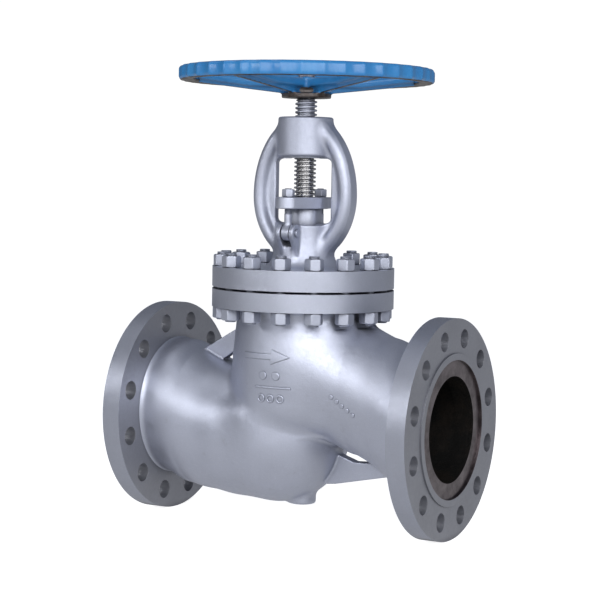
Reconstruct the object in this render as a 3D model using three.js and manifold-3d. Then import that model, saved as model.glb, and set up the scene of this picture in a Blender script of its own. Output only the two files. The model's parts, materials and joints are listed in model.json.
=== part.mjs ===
// A flanged, bolted-bonnet globe valve of nominal bore 200 mm, with an outside screw and yoke.
// Millimetres, +Z up the stem, +X along the pipe from inlet to outlet.
// The origin is where the pipe axis meets the stem axis. The valve is modelled shut.
import * as THREE from "three";
import { mergeVertices } from "three/addons/utils/BufferGeometryUtils.js";
import Module from "manifold-3d";

const wasm = await Module();
wasm.setup();

// ---- driving dimensions -------------------------------------------------------------------------
const GAP = 0.3; // clearance kept between two pieces that touch on the bench
const WELD = 1e-4;
const SIDES = 24; // facets of a plain round feature
const FINE_SIDES = 36; // facets of the large flanges

const PIPE = {
  faceToFace: 650,
  flangeRadius: 207.5,
  flangeBack: 285, // distance of each flange's back from the stem axis
  flangeFace: 322,
  raisedRadius: 142.5,
  recessRadius: 130,
  recessDepth: 5,
  neckRadius: 131, // outside of the duct where it meets the flange
  neckLength: 14,
  neckFillet: 7,
  boreRadius: 100,
  boltCircle: 172.5,
  boltHole: 18,
  bolts: 12,
};

const CASTING = {
  wall: 18,
  bowlX: -46,
  bowlZ: -31,
  bowlRadius: 140,
  chamberRadius: 112,
  floorTop: 25, // the partition that carries the seat
  floorThickness: 20,
  ribThickness: 20,
  drainBossRadius: 27,
  drainBossX: 6,
  drainBossBottom: -170,
  drainBossTop: -120, // inside the bowl's wall
};

const JOINT = {
  flangeRadius: 175.5,
  bodyFlangeBottom: 212.5,
  bodyFlangeTop: 247.4,
  bonnetFlangeBottom: 251.6,
  bonnetFlangeTop: 290,
  spigotRadius: 124.4,
  spigotDepth: 6,
  spigotBottom: 245.5,
  gasketInner: 113,
  gasketOuter: 124,
  gasketHeight: 3.5,
  studCircle: 156.5,
  studRadius: 10.7,
  studHole: 13,
  studs: 16,
  firstStud: 13.75, // degrees from the outlet; the pattern is drilled a little off the centre line
  nutAcrossFlats: 32,
  nutHeight: 22,
  studAboveNut: 5,
  studBelowNut: 3,
};

const YOKE = {
  hubRadius: 53,
  hubBottom: 502,
  hubTop: 577,
  armCentre: 427, // height of the widest point of the oval arms
  armHalfWidth: 106,
  armRise: 153,
  armDrop: 126,
  armWidth: 24,
  armDepth: 44,
  armBevel: 8,
  armTop: 562,
  webThickness: 16,
  windowHalfWidth: 60,
  windowBottom: 371,
  windowTop: 500,
  windowCorner: 12,
  neckRadius: 52,
  nutBore: 34,
  nutFlangeRadius: 42,
  nutFlangeHeight: 7,
  setScrewRadius: 4,
  setScrewBottom: 560,
};

// The bonnet's neck above its flange: [radius, height].
const NECK = [
  [74, 290],
  [64, 296],
  [60, 306],
  [54, 330],
];

// The hollow in the underside of the bonnet, round the stem's back seat.
const BACKSEAT = {
  mouthRadius: 96,
  mouthTop: 249.5,
  coneRadius: 31,
  coneTop: 256,
  boreRadius: 30.3,
  top: 278,
};

const GLAND = {
  boxRadius: 34,
  boxBottom: 286,
  ringHeight: 13,
  rings: 5,
  baseRingHeight: 6,
  flangeBottom: 402,
  flangeTop: 424,
  boltOffset: 64,
  boltRadius: 7,
  boltHole: 8.5,
  endRadius: 23,
  middleRadius: 46,
  eyeRadius: 14,
  eyeThickness: 16,
  pinHeight: 356,
  pinRadius: 5,
  earInner: 9,
  earOuter: 19,
  earRadius: 16,
  earRoot: 30, // where the ears leave the neck, from the stem axis
  earRootDrop: 56,
  earToeDrop: 40,
  bridgeRadius: 66,
  nutAcrossFlats: 22,
  nutHeight: 15,
  boltAboveNut: 1.5,
  pinHead: 2.5, // how far the pin's head stands out all round
  pinHeadLength: 4,
};

const STEM = {
  radius: 19.7,
  bore: 20.2,
  headRadius: 27.4,
  headBottom: 61.4,
  headTop: 79,
  threadMajor: 21,
  threadMinor: 16.5,
  pitch: 8,
  crest: 2.8,
  flank: 1.25,
  threadBottom: 416,
  threadTop: 612,
  shoulderRadius: 27,
  shoulderBottom: 194,
  shoulderTop: 214,
  squareTop: 650,
  squareSide: 26,
  endRadius: 10,
  endTop: 674,
};

const SEAT = { bore: 90, radius: 100, lipRadius: 107, bottom: 6, lipBottom: 25.3, top: 34 };

const DISC = {
  radius: 101,
  rim: 58,
  dishRadius: 70, // the flat under the disc, which dips less than its seat face
  dishHeight: 46,
  seatFace: 82,
  hubRadius: 46,
  hubTop: 112,
  pocketRadius: 28,
  nutRadius: 36,
  nutTop: 108,
  nutAcrossFlats: 54,
  nutHexTop: 118,
};

const LOCK_PIN = { radius: 3, height: 95, depth: 4 };

const WHEEL = {
  rimOuter: 245,
  rimInner: 217,
  rimBottom: 642.5,
  rimTop: 670.5,
  flutes: 40,
  fluteDepth: 3,
  spokes: 5,
  firstSpoke: -97, // degrees from +X
  spokeWidth: 34,
  ribWidth: 10,
  hubRadius: 30,
  collarRadius: 47.5,
  collarBottom: 613,
  collarTop: 622,
  hubTop: 650,
  washerRadius: 21,
  washerHeight: 3,
  nutAcrossFlats: 30,
  nutHeight: 16,
};

// One spoke seen from the side: [distance from the stem axis, height].
const SPOKE_PLATE = [
  [10, 636],
  [110, 636],
  [221, 652],
  [221, 664],
  [110, 650],
  [10, 650],
];
const SPOKE_RIB = [
  [10, 622],
  [44, 622],
  [219, 646],
  [219, 656],
  [100, 640],
  [10, 640],
];

const REACH = 400; // further than any piece, for the size of cutting boxes

// ---- geometry helpers ---------------------------------------------------------------------------
const degrees = (angle) => THREE.MathUtils.degToRad(angle);

// A closed three.js geometry as a manifold solid with its faces pointing out.
function solid(geometry) {
  const bare = geometry.clone();
  for (const name of Object.keys(bare.attributes)) {
    if (name !== "position") bare.deleteAttribute(name);
  }
  const welded = mergeVertices(bare, WELD);
  const vertProperties = welded.attributes.position.array;
  const triVerts = new Uint32Array(welded.index.array);
  const made = new wasm.Manifold(new wasm.Mesh({ numProp: 3, vertProperties, triVerts }));
  if (made.volume() > 0) return made;
  for (let i = 0; i < triVerts.length; i += 3) {
    [triVerts[i + 1], triVerts[i + 2]] = [triVerts[i + 2], triVerts[i + 1]];
  }
  return new wasm.Manifold(new wasm.Mesh({ numProp: 3, vertProperties, triVerts }));
}

// A ball whose poles are on the vertical through its centre.
const ball = (radius, x, z, sides) =>
  solid(new THREE.SphereGeometry(radius, sides, sides / 2).rotateX(Math.PI / 2).translate(x, 0, z));

const union = (...solids) => solids.reduce((sum, next) => sum.add(next));
const cut = (from, ...tools) => tools.reduce((left, tool) => left.subtract(tool), from);

// A profile of [radius, height] points turned about Z.
function revolve(profile, sides = SIDES) {
  const points = profile.map(([radius, height]) => new THREE.Vector2(radius, height));
  return solid(new THREE.LatheGeometry(points, sides).rotateX(Math.PI / 2));
}

// The same profile turned about X: [radius, x] points.
function revolveX(profile, sides = SIDES) {
  const points = profile.map(([radius, along]) => new THREE.Vector2(radius, along));
  return solid(new THREE.LatheGeometry(points, sides).rotateZ(-Math.PI / 2));
}

const disk = (radius, bottom, top, sides = SIDES) =>
  revolve([[0, bottom], [radius, bottom], [radius, top], [0, top]], sides);

const tube = (inner, outer, bottom, top, sides = SIDES) =>
  revolve([[inner, bottom], [outer, bottom], [outer, top], [inner, top], [inner, bottom]], sides);

function barX(radius, from, to, y, z, sides = 12) {
  const bar = new THREE.CylinderGeometry(radius, radius, to - from, sides).rotateZ(Math.PI / 2);
  return solid(bar.translate((from + to) / 2, y, z));
}

function box(lowX, highX, lowY, highY, lowZ, highZ) {
  const block = new THREE.BoxGeometry(highX - lowX, highY - lowY, highZ - lowZ);
  return solid(block.translate((lowX + highX) / 2, (lowY + highY) / 2, (lowZ + highZ) / 2));
}

function hexagon(acrossFlats, bottom, top) {
  const corner = acrossFlats / Math.sqrt(3);
  const prism = new THREE.CylinderGeometry(corner, corner, top - bottom, 6).rotateX(Math.PI / 2);
  return solid(prism.translate(0, 0, (bottom + top) / 2));
}

// A flat shape drawn in XZ, given a thickness along Y about the plane y = 0.
function plateXZ(shape, thickness, bevel = 0, curveSegments = 8) {
  const extruded = new THREE.ExtrudeGeometry(shape, {
    depth: thickness - 2 * bevel,
    bevelEnabled: bevel > 0,
    bevelThickness: bevel,
    bevelSize: bevel,
    bevelOffset: -bevel,
    bevelSegments: 1,
    curveSegments,
  });
  return solid(extruded.rotateX(Math.PI / 2).translate(0, thickness / 2 - bevel, 0));
}

// A flat shape drawn in XY, given a height along Z.
function plateXY(shape, bottom, top, curveSegments = 8) {
  const extruded = new THREE.ExtrudeGeometry(shape, {
    depth: top - bottom,
    bevelEnabled: false,
    curveSegments,
  });
  return solid(extruded.translate(0, 0, bottom));
}

const polygon = (points) => new THREE.Shape(points.map(([x, y]) => new THREE.Vector2(x, y)));

// A round duct that follows stations of [x, z, radius] in the plane y = 0.
function duct(stations, sides = 20, rings = 6) {
  const path = new THREE.CatmullRomCurve3(stations.map(([x, z, r]) => new THREE.Vector3(x, r, z)));
  const skin = new THREE.CylinderGeometry(1, 1, 1, sides, rings);
  const place = skin.attributes.position;
  for (let i = 0; i < place.count; i += 1) {
    const t = place.getY(i) + 0.5;
    const at = path.getPoint(t);
    const ahead = path.getTangent(t).setY(0).normalize();
    const across = place.getX(i) * at.y;
    const up = place.getZ(i) * at.y;
    place.setXYZ(i, at.x - ahead.z * up, across, at.z + ahead.x * up);
  }
  return solid(skin);
}

// A rod with a trapezoidal right-hand thread, trimmed square between two heights.
// Its surface is a grid of four rows to each pitch, and a column rises one pitch in a full turn.
// Two threads of the same pitch are in step with each other, whatever their heights.
function threadedRod({ minor, major, pitch, crest, flank, bottom, top, phase = 0, columns = 10 }) {
  const root = pitch - crest - 2 * flank;
  const rise = [0, root, root + flank, root + flank + crest];
  const radius = [minor, minor, major, major];
  const turns = Math.ceil((top - bottom) / pitch) + 3;
  const rows = turns * 4;
  const start = (Math.floor(bottom / pitch) - 2) * pitch + phase;
  const position = [];
  const indexOf = new Map();
  const vertex = (row, column) => {
    const [i, j] = column === columns ? [row + 4, 0] : [row, column];
    const key = `${i},${j}`;
    if (!indexOf.has(key)) {
      const angle = (2 * Math.PI * j) / columns;
      const height = start + Math.floor(i / 4) * pitch + rise[i % 4] + (pitch * j) / columns;
      indexOf.set(key, position.length / 3);
      position.push(radius[i % 4] * Math.cos(angle), radius[i % 4] * Math.sin(angle), height);
    }
    return indexOf.get(key);
  };
  const triangles = [];
  for (let i = 0; i < rows - 1; i += 1) {
    for (let j = 0; j < columns; j += 1) {
      const [a, b] = [vertex(i, j), vertex(i, j + 1)];
      const [c, d] = [vertex(i + 1, j), vertex(i + 1, j + 1)];
      triangles.push(a, b, d, a, d, c);
    }
  }
  // Each end is closed by a fan from the axis, which also covers the step where the thread starts.
  const rim = (row) => {
    const loop = [];
    for (let j = 0; j <= columns; j += 1) loop.push(vertex(row, j));
    for (let i = row + 3; i > row; i -= 1) loop.push(vertex(i, 0));
    return loop;
  };
  const close = (row, flip) => {
    const loop = rim(row);
    const centre = position.length / 3;
    position.push(0, 0, start + (row / 4) * pitch + pitch / 2);
    loop.forEach((at, k) => {
      const next = loop[(k + 1) % loop.length];
      triangles.push(...(flip ? [centre, next, at] : [centre, at, next]));
    });
  };
  close(0, true);
  close(rows - 1, false);
  const skin = new THREE.BufferGeometry();
  skin.setAttribute("position", new THREE.Float32BufferAttribute(position, 3));
  skin.setIndex(triangles);
  return solid(skin).intersect(disk(major + 2, bottom, top, 24));
}

// Copies of a tool spaced evenly round Z or X, the first one at an angle in degrees.
function around(tool, count, first, axis = "z") {
  const copies = [];
  for (let k = 0; k < count; k += 1) {
    const angle = first + (360 * k) / count;
    copies.push(axis === "z" ? tool.rotate([0, 0, angle]) : tool.rotate([angle, 0, 0]));
  }
  return union(...copies);
}

// ---- materials ----------------------------------------------------------------------------------
const metal = (color, roughness, metalness) =>
  new THREE.MeshStandardMaterial({ color, roughness, metalness });
const FINISH = {
  silverPaint: metal("#a6a9b1", 0.42, 0.6),
  bluePaint: metal("#1f74c0", 0.35, 0.1),
  bareSteel: metal("#8d8a86", 0.35, 1),
  stainless: metal("#b9b9bd", 0.25, 1),
  bronze: metal("#b08a4a", 0.35, 1),
  graphite: metal("#2b2b2d", 0.8, 0.1),
};

const valve = new THREE.Group();
valve.name = "globe_valve";

function addPiece(name, shape, finish, parent = valve) {
  const { vertProperties, triVerts, numProp } = shape.getMesh();
  const count = vertProperties.length / numProp;
  const position = new Float32Array(count * 3);
  for (let i = 0; i < count; i += 1) {
    position.set(vertProperties.subarray(i * numProp, i * numProp + 3), i * 3);
  }
  const geometry = new THREE.BufferGeometry();
  geometry.setAttribute("position", new THREE.BufferAttribute(position, 3));
  geometry.setIndex(new THREE.BufferAttribute(triVerts, 1));
  const mesh = new THREE.Mesh(geometry, finish);
  mesh.name = name;
  parent.add(mesh);
  return mesh;
}

// ---- body casting -------------------------------------------------------------------------------
// Outside of the inlet duct, which falls into the bowl below the seat: [x, z, radius].
const INLET_OUTSIDE = [
  [-312, 0, 132],
  [-268, 0, 132],
  [-220, -20, 132],
  [-170, -35, 131],
  [-110, -40, 132],
  [CASTING.bowlX, CASTING.bowlZ, 134],
];
// Outside of the outlet duct, which rises to the chamber above the seat.
const OUTLET_OUTSIDE = [
  [312, 0, 128],
  [282, 1, 127],
  [240, 13, 121],
  [190, 38, 114],
  [140, 62, 114],
  [80, 90, 114],
  [0, 112, 114],
];
const INLET_PASSAGE = [
  [-345, 0, PIPE.boreRadius],
  [-290, 0, PIPE.boreRadius],
  [-225, -17, 102],
  [-170, -29, 106],
  [-110, -32, 112],
  [CASTING.bowlX, CASTING.bowlZ, 118],
];
const OUTLET_PASSAGE = [
  [345, 0, PIPE.boreRadius],
  [290, 0, PIPE.boreRadius],
  [235, 15, 98],
  [185, 36, 96],
  [130, 62, 96],
  [60, 92, 98],
];
// Outside of the chamber above the seat: [radius, height].
const CHAMBER_OUTSIDE = [
  [105, -20],
  [126, 10],
  [135, 48],
  [131, 150],
  [129, 190],
  [136, JOINT.bodyFlangeBottom],
];
// The two stiffening ribs seen from the side: [x, z].
const INLET_RIB = [
  [-246, 92],
  [-240, 105],
  [-118, 177],
  [-118, 139],
  [-194, 84],
];
const OUTLET_RIB = [
  [30, -130],
  [84, -124],
  [215, -96],
  [215, -74],
  [124, -78],
  [70, -60],
];

function pipeFlange() {
  const { flangeRadius, flangeBack, flangeFace, raisedRadius, boltCircle, boltHole, bolts } = PIPE;
  const { neckRadius, neckLength, neckFillet } = PIPE;
  const end = PIPE.faceToFace / 2;
  const plate = revolveX(
    [
      [0, flangeBack - neckLength],
      [neckRadius, flangeBack - neckLength],
      [neckRadius + neckFillet, flangeBack],
      [flangeRadius, flangeBack],
      [flangeRadius, flangeFace],
      [raisedRadius, flangeFace],
      [raisedRadius, end],
      [0, end],
    ],
    FINE_SIDES,
  );
  const hole = barX(boltHole, flangeBack - 1, flangeFace + 1, 0, boltCircle, 10);
  return cut(plate, around(hole, bolts, 180 / bolts, "x"));
}

function castingOutside() {
  const { bowlX, bowlZ, bowlRadius, ribThickness, drainBossRadius, drainBossBottom } = CASTING;
  const chamber = revolve(
    [
      [0, CHAMBER_OUTSIDE[0][1]],
      ...CHAMBER_OUTSIDE,
      [JOINT.flangeRadius, JOINT.bodyFlangeBottom],
      [JOINT.flangeRadius, JOINT.bodyFlangeTop],
      [0, JOINT.bodyFlangeTop],
    ],
    FINE_SIDES,
  );
  const drainBoss = disk(drainBossRadius, drainBossBottom, CASTING.drainBossTop, 20);
  return union(
    chamber,
    ball(bowlRadius, bowlX, bowlZ, 20),
    duct(INLET_OUTSIDE),
    duct(OUTLET_OUTSIDE),
    plateXZ(polygon(INLET_RIB), ribThickness),
    plateXZ(polygon(OUTLET_RIB), ribThickness),
    drainBoss.translate([CASTING.drainBossX, 0, 0]),
  );
}

function castingInside() {
  const { bowlX, bowlZ, bowlRadius, wall, chamberRadius, floorTop, floorThickness } = CASTING;
  const inside = ball(bowlRadius - wall, bowlX, bowlZ, 16);
  const chamberWall = disk(chamberRadius + wall, floorTop - floorThickness, REACH);
  const belowSeat = cut(union(duct(INLET_PASSAGE, 20, 5), inside), chamberWall);
  const bowl = ball(bowlRadius, bowlX, bowlZ, 20);
  const partition = bowl.intersect(box(-REACH, REACH, -REACH, REACH, -REACH, floorTop));
  const outletWay = cut(duct(OUTLET_PASSAGE, 20, 5), partition);
  const aboveSeat = disk(chamberRadius, floorTop, JOINT.bodyFlangeTop + 1);
  const seatHole = disk(SEAT.radius + GAP, floorTop - floorThickness - 10, floorTop + 1);
  const gasketSeat = disk(
    JOINT.spigotRadius + 0.6,
    JOINT.bodyFlangeTop - JOINT.spigotDepth,
    JOINT.bodyFlangeTop + 1,
  );
  return union(belowSeat, outletWay, aboveSeat, seatHole, gasketSeat);
}

function bodyCasting() {
  const end = PIPE.faceToFace / 2;
  const flange = pipeFlange();
  const recess = (sign) =>
    sign > 0
      ? barX(PIPE.recessRadius, end - PIPE.recessDepth, end + 5, 0, 0, SIDES)
      : barX(PIPE.recessRadius, -end - 5, PIPE.recessDepth - end, 0, 0, SIDES);
  const studHole = disk(JOINT.studHole, JOINT.bodyFlangeBottom - 1, JOINT.bodyFlangeTop + 1, 8)
    .translate([JOINT.studCircle, 0, 0]);
  return cut(
    union(castingOutside(), flange, flange.rotate([0, 0, 180])),
    castingInside(),
    recess(1),
    recess(-1),
    around(studHole, JOINT.studs, JOINT.firstStud),
  );
}

addPiece("body", bodyCasting(), FINISH.silverPaint);

// ---- seat and closure ---------------------------------------------------------------------------
const seatRing = revolve([
  [SEAT.bore, SEAT.bottom],
  [SEAT.radius, SEAT.bottom],
  [SEAT.radius, SEAT.lipBottom],
  [SEAT.lipRadius, SEAT.lipBottom],
  [SEAT.lipRadius, SEAT.top - 3],
  [SEAT.lipRadius - 4, SEAT.top],
  [SEAT.bore + 2, SEAT.top],
  [SEAT.bore, SEAT.top - 3],
  [SEAT.bore, SEAT.bottom],
]);
addPiece("body_seat_ring", seatRing, FINISH.stainless);

const discNutBottom = STEM.headTop + GAP;
const lockPinEnd = DISC.nutRadius - LOCK_PIN.depth;
const lockPin = barX(LOCK_PIN.radius, lockPinEnd, DISC.hubRadius - 0.5, 0, LOCK_PIN.height);
const lockPinHole = barX(
  LOCK_PIN.radius + GAP,
  lockPinEnd - GAP,
  DISC.hubRadius + 1,
  0,
  LOCK_PIN.height,
);
const discShape = revolve([
  [0, DISC.dishHeight],
  [DISC.dishRadius, DISC.dishHeight],
  [DISC.seatFace, SEAT.top + GAP],
  [DISC.radius, SEAT.top + GAP],
  [DISC.radius, DISC.rim - 4],
  [DISC.radius - 4, DISC.rim],
  [DISC.hubRadius + 10, DISC.rim + 4],
  [DISC.hubRadius, DISC.rim + 16],
  [DISC.hubRadius, DISC.hubTop],
  [DISC.nutRadius + GAP, DISC.hubTop],
  [DISC.nutRadius + GAP, discNutBottom],
  [DISC.pocketRadius, discNutBottom],
  [DISC.pocketRadius, STEM.headBottom - GAP],
  [0, STEM.headBottom - GAP],
]);
addPiece("disc", cut(discShape, lockPinHole), FINISH.stainless);
const discNut = cut(
  union(
    tube(STEM.bore, DISC.nutRadius, discNutBottom + GAP, DISC.nutTop),
    hexagon(DISC.nutAcrossFlats, DISC.nutTop - 1, DISC.nutHexTop),
  ),
  disk(STEM.bore, STEM.headBottom, DISC.nutHexTop + 1),
  lockPinHole,
);
addPiece("disc_nut", discNut, FINISH.stainless);
addPiece("disc_nut_lock_pin", lockPin, FINISH.stainless);

// ---- stem and its nut ---------------------------------------------------------------------------
const THREAD = {
  minor: STEM.threadMinor,
  major: STEM.threadMajor,
  pitch: STEM.pitch,
  crest: STEM.crest,
  flank: STEM.flank,
};

function stemShape() {
  const shaft = revolve(
    [
      [0, STEM.headBottom],
      [STEM.headRadius, STEM.headBottom],
      [STEM.headRadius, STEM.headTop],
      [STEM.radius, STEM.headTop],
      [STEM.radius, STEM.shoulderBottom],
      [STEM.shoulderRadius, STEM.shoulderBottom + 4],
      [STEM.shoulderRadius, STEM.shoulderTop - 7],
      [STEM.radius, STEM.shoulderTop],
      [STEM.radius, STEM.threadBottom - 3],
      [STEM.threadMinor, STEM.threadBottom],
      [0, STEM.threadBottom],
    ],
    24,
  );
  const half = STEM.squareSide / 2;
  return union(
    shaft,
    threadedRod({ ...THREAD, bottom: STEM.threadBottom - 1, top: STEM.threadTop }),
    box(-half, half, -half, half, STEM.threadTop - 4, STEM.squareTop),
    disk(STEM.endRadius, STEM.squareTop - 5, STEM.endTop, 16),
  );
}
addPiece("stem", stemShape(), FINISH.bareSteel);

const AXIAL_PLAY = 0.4;
const RADIAL_PLAY = 1.4;
const tap = threadedRod({
  ...THREAD,
  minor: THREAD.minor + RADIAL_PLAY,
  major: THREAD.major + RADIAL_PLAY,
  crest: THREAD.crest + 2 * AXIAL_PLAY,
  phase: AXIAL_PLAY,
  bottom: YOKE.hubBottom - 10,
  top: YOKE.hubTop + 10,
});
const { setScrewRadius, setScrewBottom } = YOKE;
const setScrewHole = disk(setScrewRadius + GAP, setScrewBottom, YOKE.hubTop + 10, 10)
  .translate([0, YOKE.nutBore - 1, 0]);
const nutFlangeBottom = YOKE.hubBottom - 3;
const nutFlangeTop = nutFlangeBottom + YOKE.nutFlangeHeight;
const yokeNut = cut(
  union(
    disk(YOKE.nutBore - GAP, YOKE.hubBottom + 3, YOKE.hubTop - 1),
    disk(YOKE.nutFlangeRadius, nutFlangeBottom, nutFlangeTop - GAP),
  ),
  tap,
  setScrewHole,
);
addPiece("yoke_nut", yokeNut, FINISH.bronze);
const setScrew = disk(setScrewRadius, setScrewBottom + GAP, YOKE.hubTop - 2, 10)
  .translate([0, YOKE.nutBore - 1, 0]);
addPiece("yoke_nut_set_screw", setScrew, FINISH.bareSteel);

// ---- bonnet with yoke ---------------------------------------------------------------------------
function ovalShape(halfWidth, rise, drop, centre) {
  const shape = new THREE.Shape();
  shape.moveTo(halfWidth, centre);
  shape.absellipse(0, centre, halfWidth, rise, 0, Math.PI, false, 0);
  shape.absellipse(0, centre, halfWidth, drop, Math.PI, 2 * Math.PI, false, 0);
  return shape;
}

function windowShape() {
  const { windowHalfWidth: w, windowBottom: low, windowTop: high, windowCorner: r } = YOKE;
  const shape = new THREE.Shape();
  shape.moveTo(r - w, low);
  shape.lineTo(w - r, low);
  shape.quadraticCurveTo(w, low, w, low + r);
  shape.lineTo(w, high - r);
  shape.quadraticCurveTo(w, high, w - r, high);
  shape.lineTo(r - w, high);
  shape.quadraticCurveTo(-w, high, -w, high - r);
  shape.lineTo(-w, low + r);
  shape.quadraticCurveTo(-w, low, r - w, low);
  return shape;
}

function yokeArms() {
  const { armHalfWidth, armRise, armDrop, armWidth, armCentre, armDepth, armBevel } = YOKE;
  const outer = ovalShape(armHalfWidth, armRise, armDrop, armCentre);
  const inner = ovalShape(armHalfWidth - armWidth, armRise - armWidth, armDrop - armWidth, armCentre);
  const band = cut(plateXZ(outer, armDepth, armBevel, 9), plateXZ(inner, armDepth + 10, 0, 9));
  const web = plateXZ(outer, YOKE.webThickness, 0, 9);
  const cutWindow = plateXZ(windowShape(), armDepth + 20, 0, 4);
  const reach = armHalfWidth + 20;
  const belowTop = box(-reach, reach, -40, 40, JOINT.bonnetFlangeTop, YOKE.armTop);
  return cut(union(band, web), cutWindow).intersect(belowTop);
}

// Two ears for each gland eyebolt, standing out of the neck on -Y and on +Y.
function eyeboltEars() {
  const { boltOffset, pinHeight, earRadius, earInner, earOuter } = GLAND;
  const { earRoot, earRootDrop, earToeDrop, bridgeRadius } = GLAND;
  const side = new THREE.Shape();
  side.moveTo(earRoot, pinHeight - earRootDrop);
  side.lineTo(boltOffset - 6, pinHeight - earToeDrop);
  side.lineTo(boltOffset + earRadius, pinHeight - 4);
  side.absarc(boltOffset, pinHeight, earRadius, 0, Math.PI / 2, false);
  side.lineTo(earRoot, pinHeight + earRadius - 1);
  const ears = [];
  for (const turn of [90, -90]) {
    for (const centre of [-(earInner + earOuter) / 2, (earInner + earOuter) / 2]) {
      const ear = plateXZ(side, earOuter - earInner, 0, 6).translate([0, centre, 0]);
      ears.push(ear.rotate([0, 0, turn]));
    }
  }
  const low = JOINT.bonnetFlangeTop;
  const bridge = box(-earInner - 1, earInner + 1, -boltOffset, boltOffset, low, pinHeight - 26);
  return union(...ears, bridge.intersect(disk(bridgeRadius, low, pinHeight)));
}

function bonnetShape() {
  const { spigotBottom, spigotRadius, bonnetFlangeBottom, bonnetFlangeTop } = JOINT;
  const lower = revolve([
    [0, spigotBottom],
    [spigotRadius, spigotBottom],
    [spigotRadius, bonnetFlangeBottom],
    [JOINT.flangeRadius, bonnetFlangeBottom],
    [JOINT.flangeRadius, bonnetFlangeTop],
    ...NECK,
    [YOKE.neckRadius, YOKE.windowBottom],
    [0, YOKE.windowBottom],
  ]);
  const hub = revolve([
    [0, YOKE.hubBottom],
    [YOKE.hubRadius - 3, YOKE.hubBottom],
    [YOKE.hubRadius, YOKE.hubBottom + 3],
    [YOKE.hubRadius, YOKE.hubTop - 4],
    [YOKE.hubRadius - 4, YOKE.hubTop],
    [0, YOKE.hubTop],
  ]);
  const bores = revolve([
    [0, spigotBottom - 5],
    [BACKSEAT.mouthRadius, spigotBottom - 5],
    [BACKSEAT.mouthRadius, BACKSEAT.mouthTop],
    [BACKSEAT.coneRadius, BACKSEAT.coneTop],
    [BACKSEAT.boreRadius, BACKSEAT.coneTop],
    [BACKSEAT.boreRadius, BACKSEAT.top],
    [STEM.bore + 0.4, BACKSEAT.top],
    [STEM.bore + 0.4, GLAND.boxBottom],
    [GLAND.boxRadius, GLAND.boxBottom],
    [GLAND.boxRadius, YOKE.windowBottom + 5],
    [0, YOKE.windowBottom + 5],
  ]);
  const studHole = disk(JOINT.studHole, bonnetFlangeBottom - 1, bonnetFlangeTop + 1, 8)
    .translate([JOINT.studCircle, 0, 0]);
  const pinReach = GLAND.earOuter + 5;
  const pinHoles = [-1, 1].map((side) =>
    barX(GLAND.pinRadius + GAP, -pinReach, pinReach, side * GLAND.boltOffset, GLAND.pinHeight),
  );
  const eyeSlots = [-1, 1].map((side) => {
    const near = GLAND.boltOffset - GLAND.eyeRadius - 2;
    const [low, high] = side < 0 ? [-100, -near] : [near, 100];
    return box(-GLAND.earInner, GLAND.earInner, low, high, GLAND.pinHeight - 18, 400);
  });
  return cut(
    union(lower, hub, yokeArms(), eyeboltEars()),
    bores,
    disk(YOKE.nutBore, YOKE.hubBottom - 5, YOKE.hubTop + 5),
    disk(YOKE.nutFlangeRadius + GAP, YOKE.hubBottom - 5, nutFlangeTop),
    setScrewHole,
    around(studHole, JOINT.studs, JOINT.firstStud),
    ...pinHoles,
    ...eyeSlots,
  );
}
addPiece("bonnet", bonnetShape(), FINISH.silverPaint);

const gasketBottom = JOINT.bodyFlangeTop - JOINT.spigotDepth + GAP;
const gasketTop = gasketBottom + JOINT.gasketHeight;
const gasket = tube(JOINT.gasketInner, JOINT.gasketOuter, gasketBottom, gasketTop);
addPiece("bonnet_gasket", gasket, FINISH.graphite);
// Its cone is the stem shoulder's, and meets it when the valve is fully open.
const backseatBottom = BACKSEAT.coneTop + 1;
const backseat = revolve([
  [STEM.bore + 8, backseatBottom],
  [BACKSEAT.boreRadius - GAP, backseatBottom],
  [BACKSEAT.boreRadius - GAP, BACKSEAT.top - GAP],
  [STEM.bore, BACKSEAT.top - GAP],
  [STEM.bore, backseatBottom + 7],
  [STEM.bore + 8, backseatBottom],
]);
addPiece("backseat_bush", backseat, FINISH.stainless);

// ---- packing and gland --------------------------------------------------------------------------
const ringInner = STEM.bore;
const ringOuter = GLAND.boxRadius - GAP;
const baseTop = GLAND.boxBottom + GAP + GLAND.baseRingHeight;
const baseRing = tube(ringInner, ringOuter, GLAND.boxBottom + GAP, baseTop);
addPiece("packing_base_ring", baseRing, FINISH.bareSteel);
for (let k = 0; k < GLAND.rings; k += 1) {
  const bottom = baseTop + GAP + k * GLAND.ringHeight;
  const ring = tube(ringInner, ringOuter, bottom, bottom + GLAND.ringHeight - GAP);
  addPiece(`packing_ring_${k + 1}`, ring, FINISH.graphite);
}
const packingTop = baseTop + GAP + GLAND.rings * GLAND.ringHeight;
const follower = tube(STEM.threadMajor + 0.6, ringOuter, packingTop, GLAND.flangeBottom - GAP);
addPiece("gland_follower", follower, FINISH.silverPaint);

// The gland flange's outline: a round middle, tapering to a round end over each eyebolt.
function glandOutline() {
  const { boltOffset: reach, endRadius, middleRadius } = GLAND;
  const lean = Math.acos((middleRadius - endRadius) / reach);
  const shape = new THREE.Shape();
  shape.absarc(0, 0, middleRadius, lean - Math.PI / 2, Math.PI / 2 - lean, false);
  shape.absarc(0, reach, endRadius, Math.PI / 2 - lean, Math.PI / 2 + lean, false);
  shape.absarc(0, 0, middleRadius, Math.PI / 2 + lean, (3 * Math.PI) / 2 - lean, false);
  shape.absarc(0, -reach, endRadius, (3 * Math.PI) / 2 - lean, (3 * Math.PI) / 2 + lean, false);
  return shape;
}
const glandHole = disk(GLAND.boltHole, GLAND.flangeBottom - 1, GLAND.flangeTop + 1, 12);
const glandFlange = cut(
  plateXY(glandOutline(), GLAND.flangeBottom, GLAND.flangeTop),
  disk(STEM.threadMajor + 0.6, GLAND.flangeBottom - 1, GLAND.flangeTop + 1, 24),
  glandHole.translate([0, GLAND.boltOffset, 0]),
  glandHole.translate([0, -GLAND.boltOffset, 0]),
);
addPiece("gland_flange", glandFlange, FINISH.silverPaint);

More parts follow.
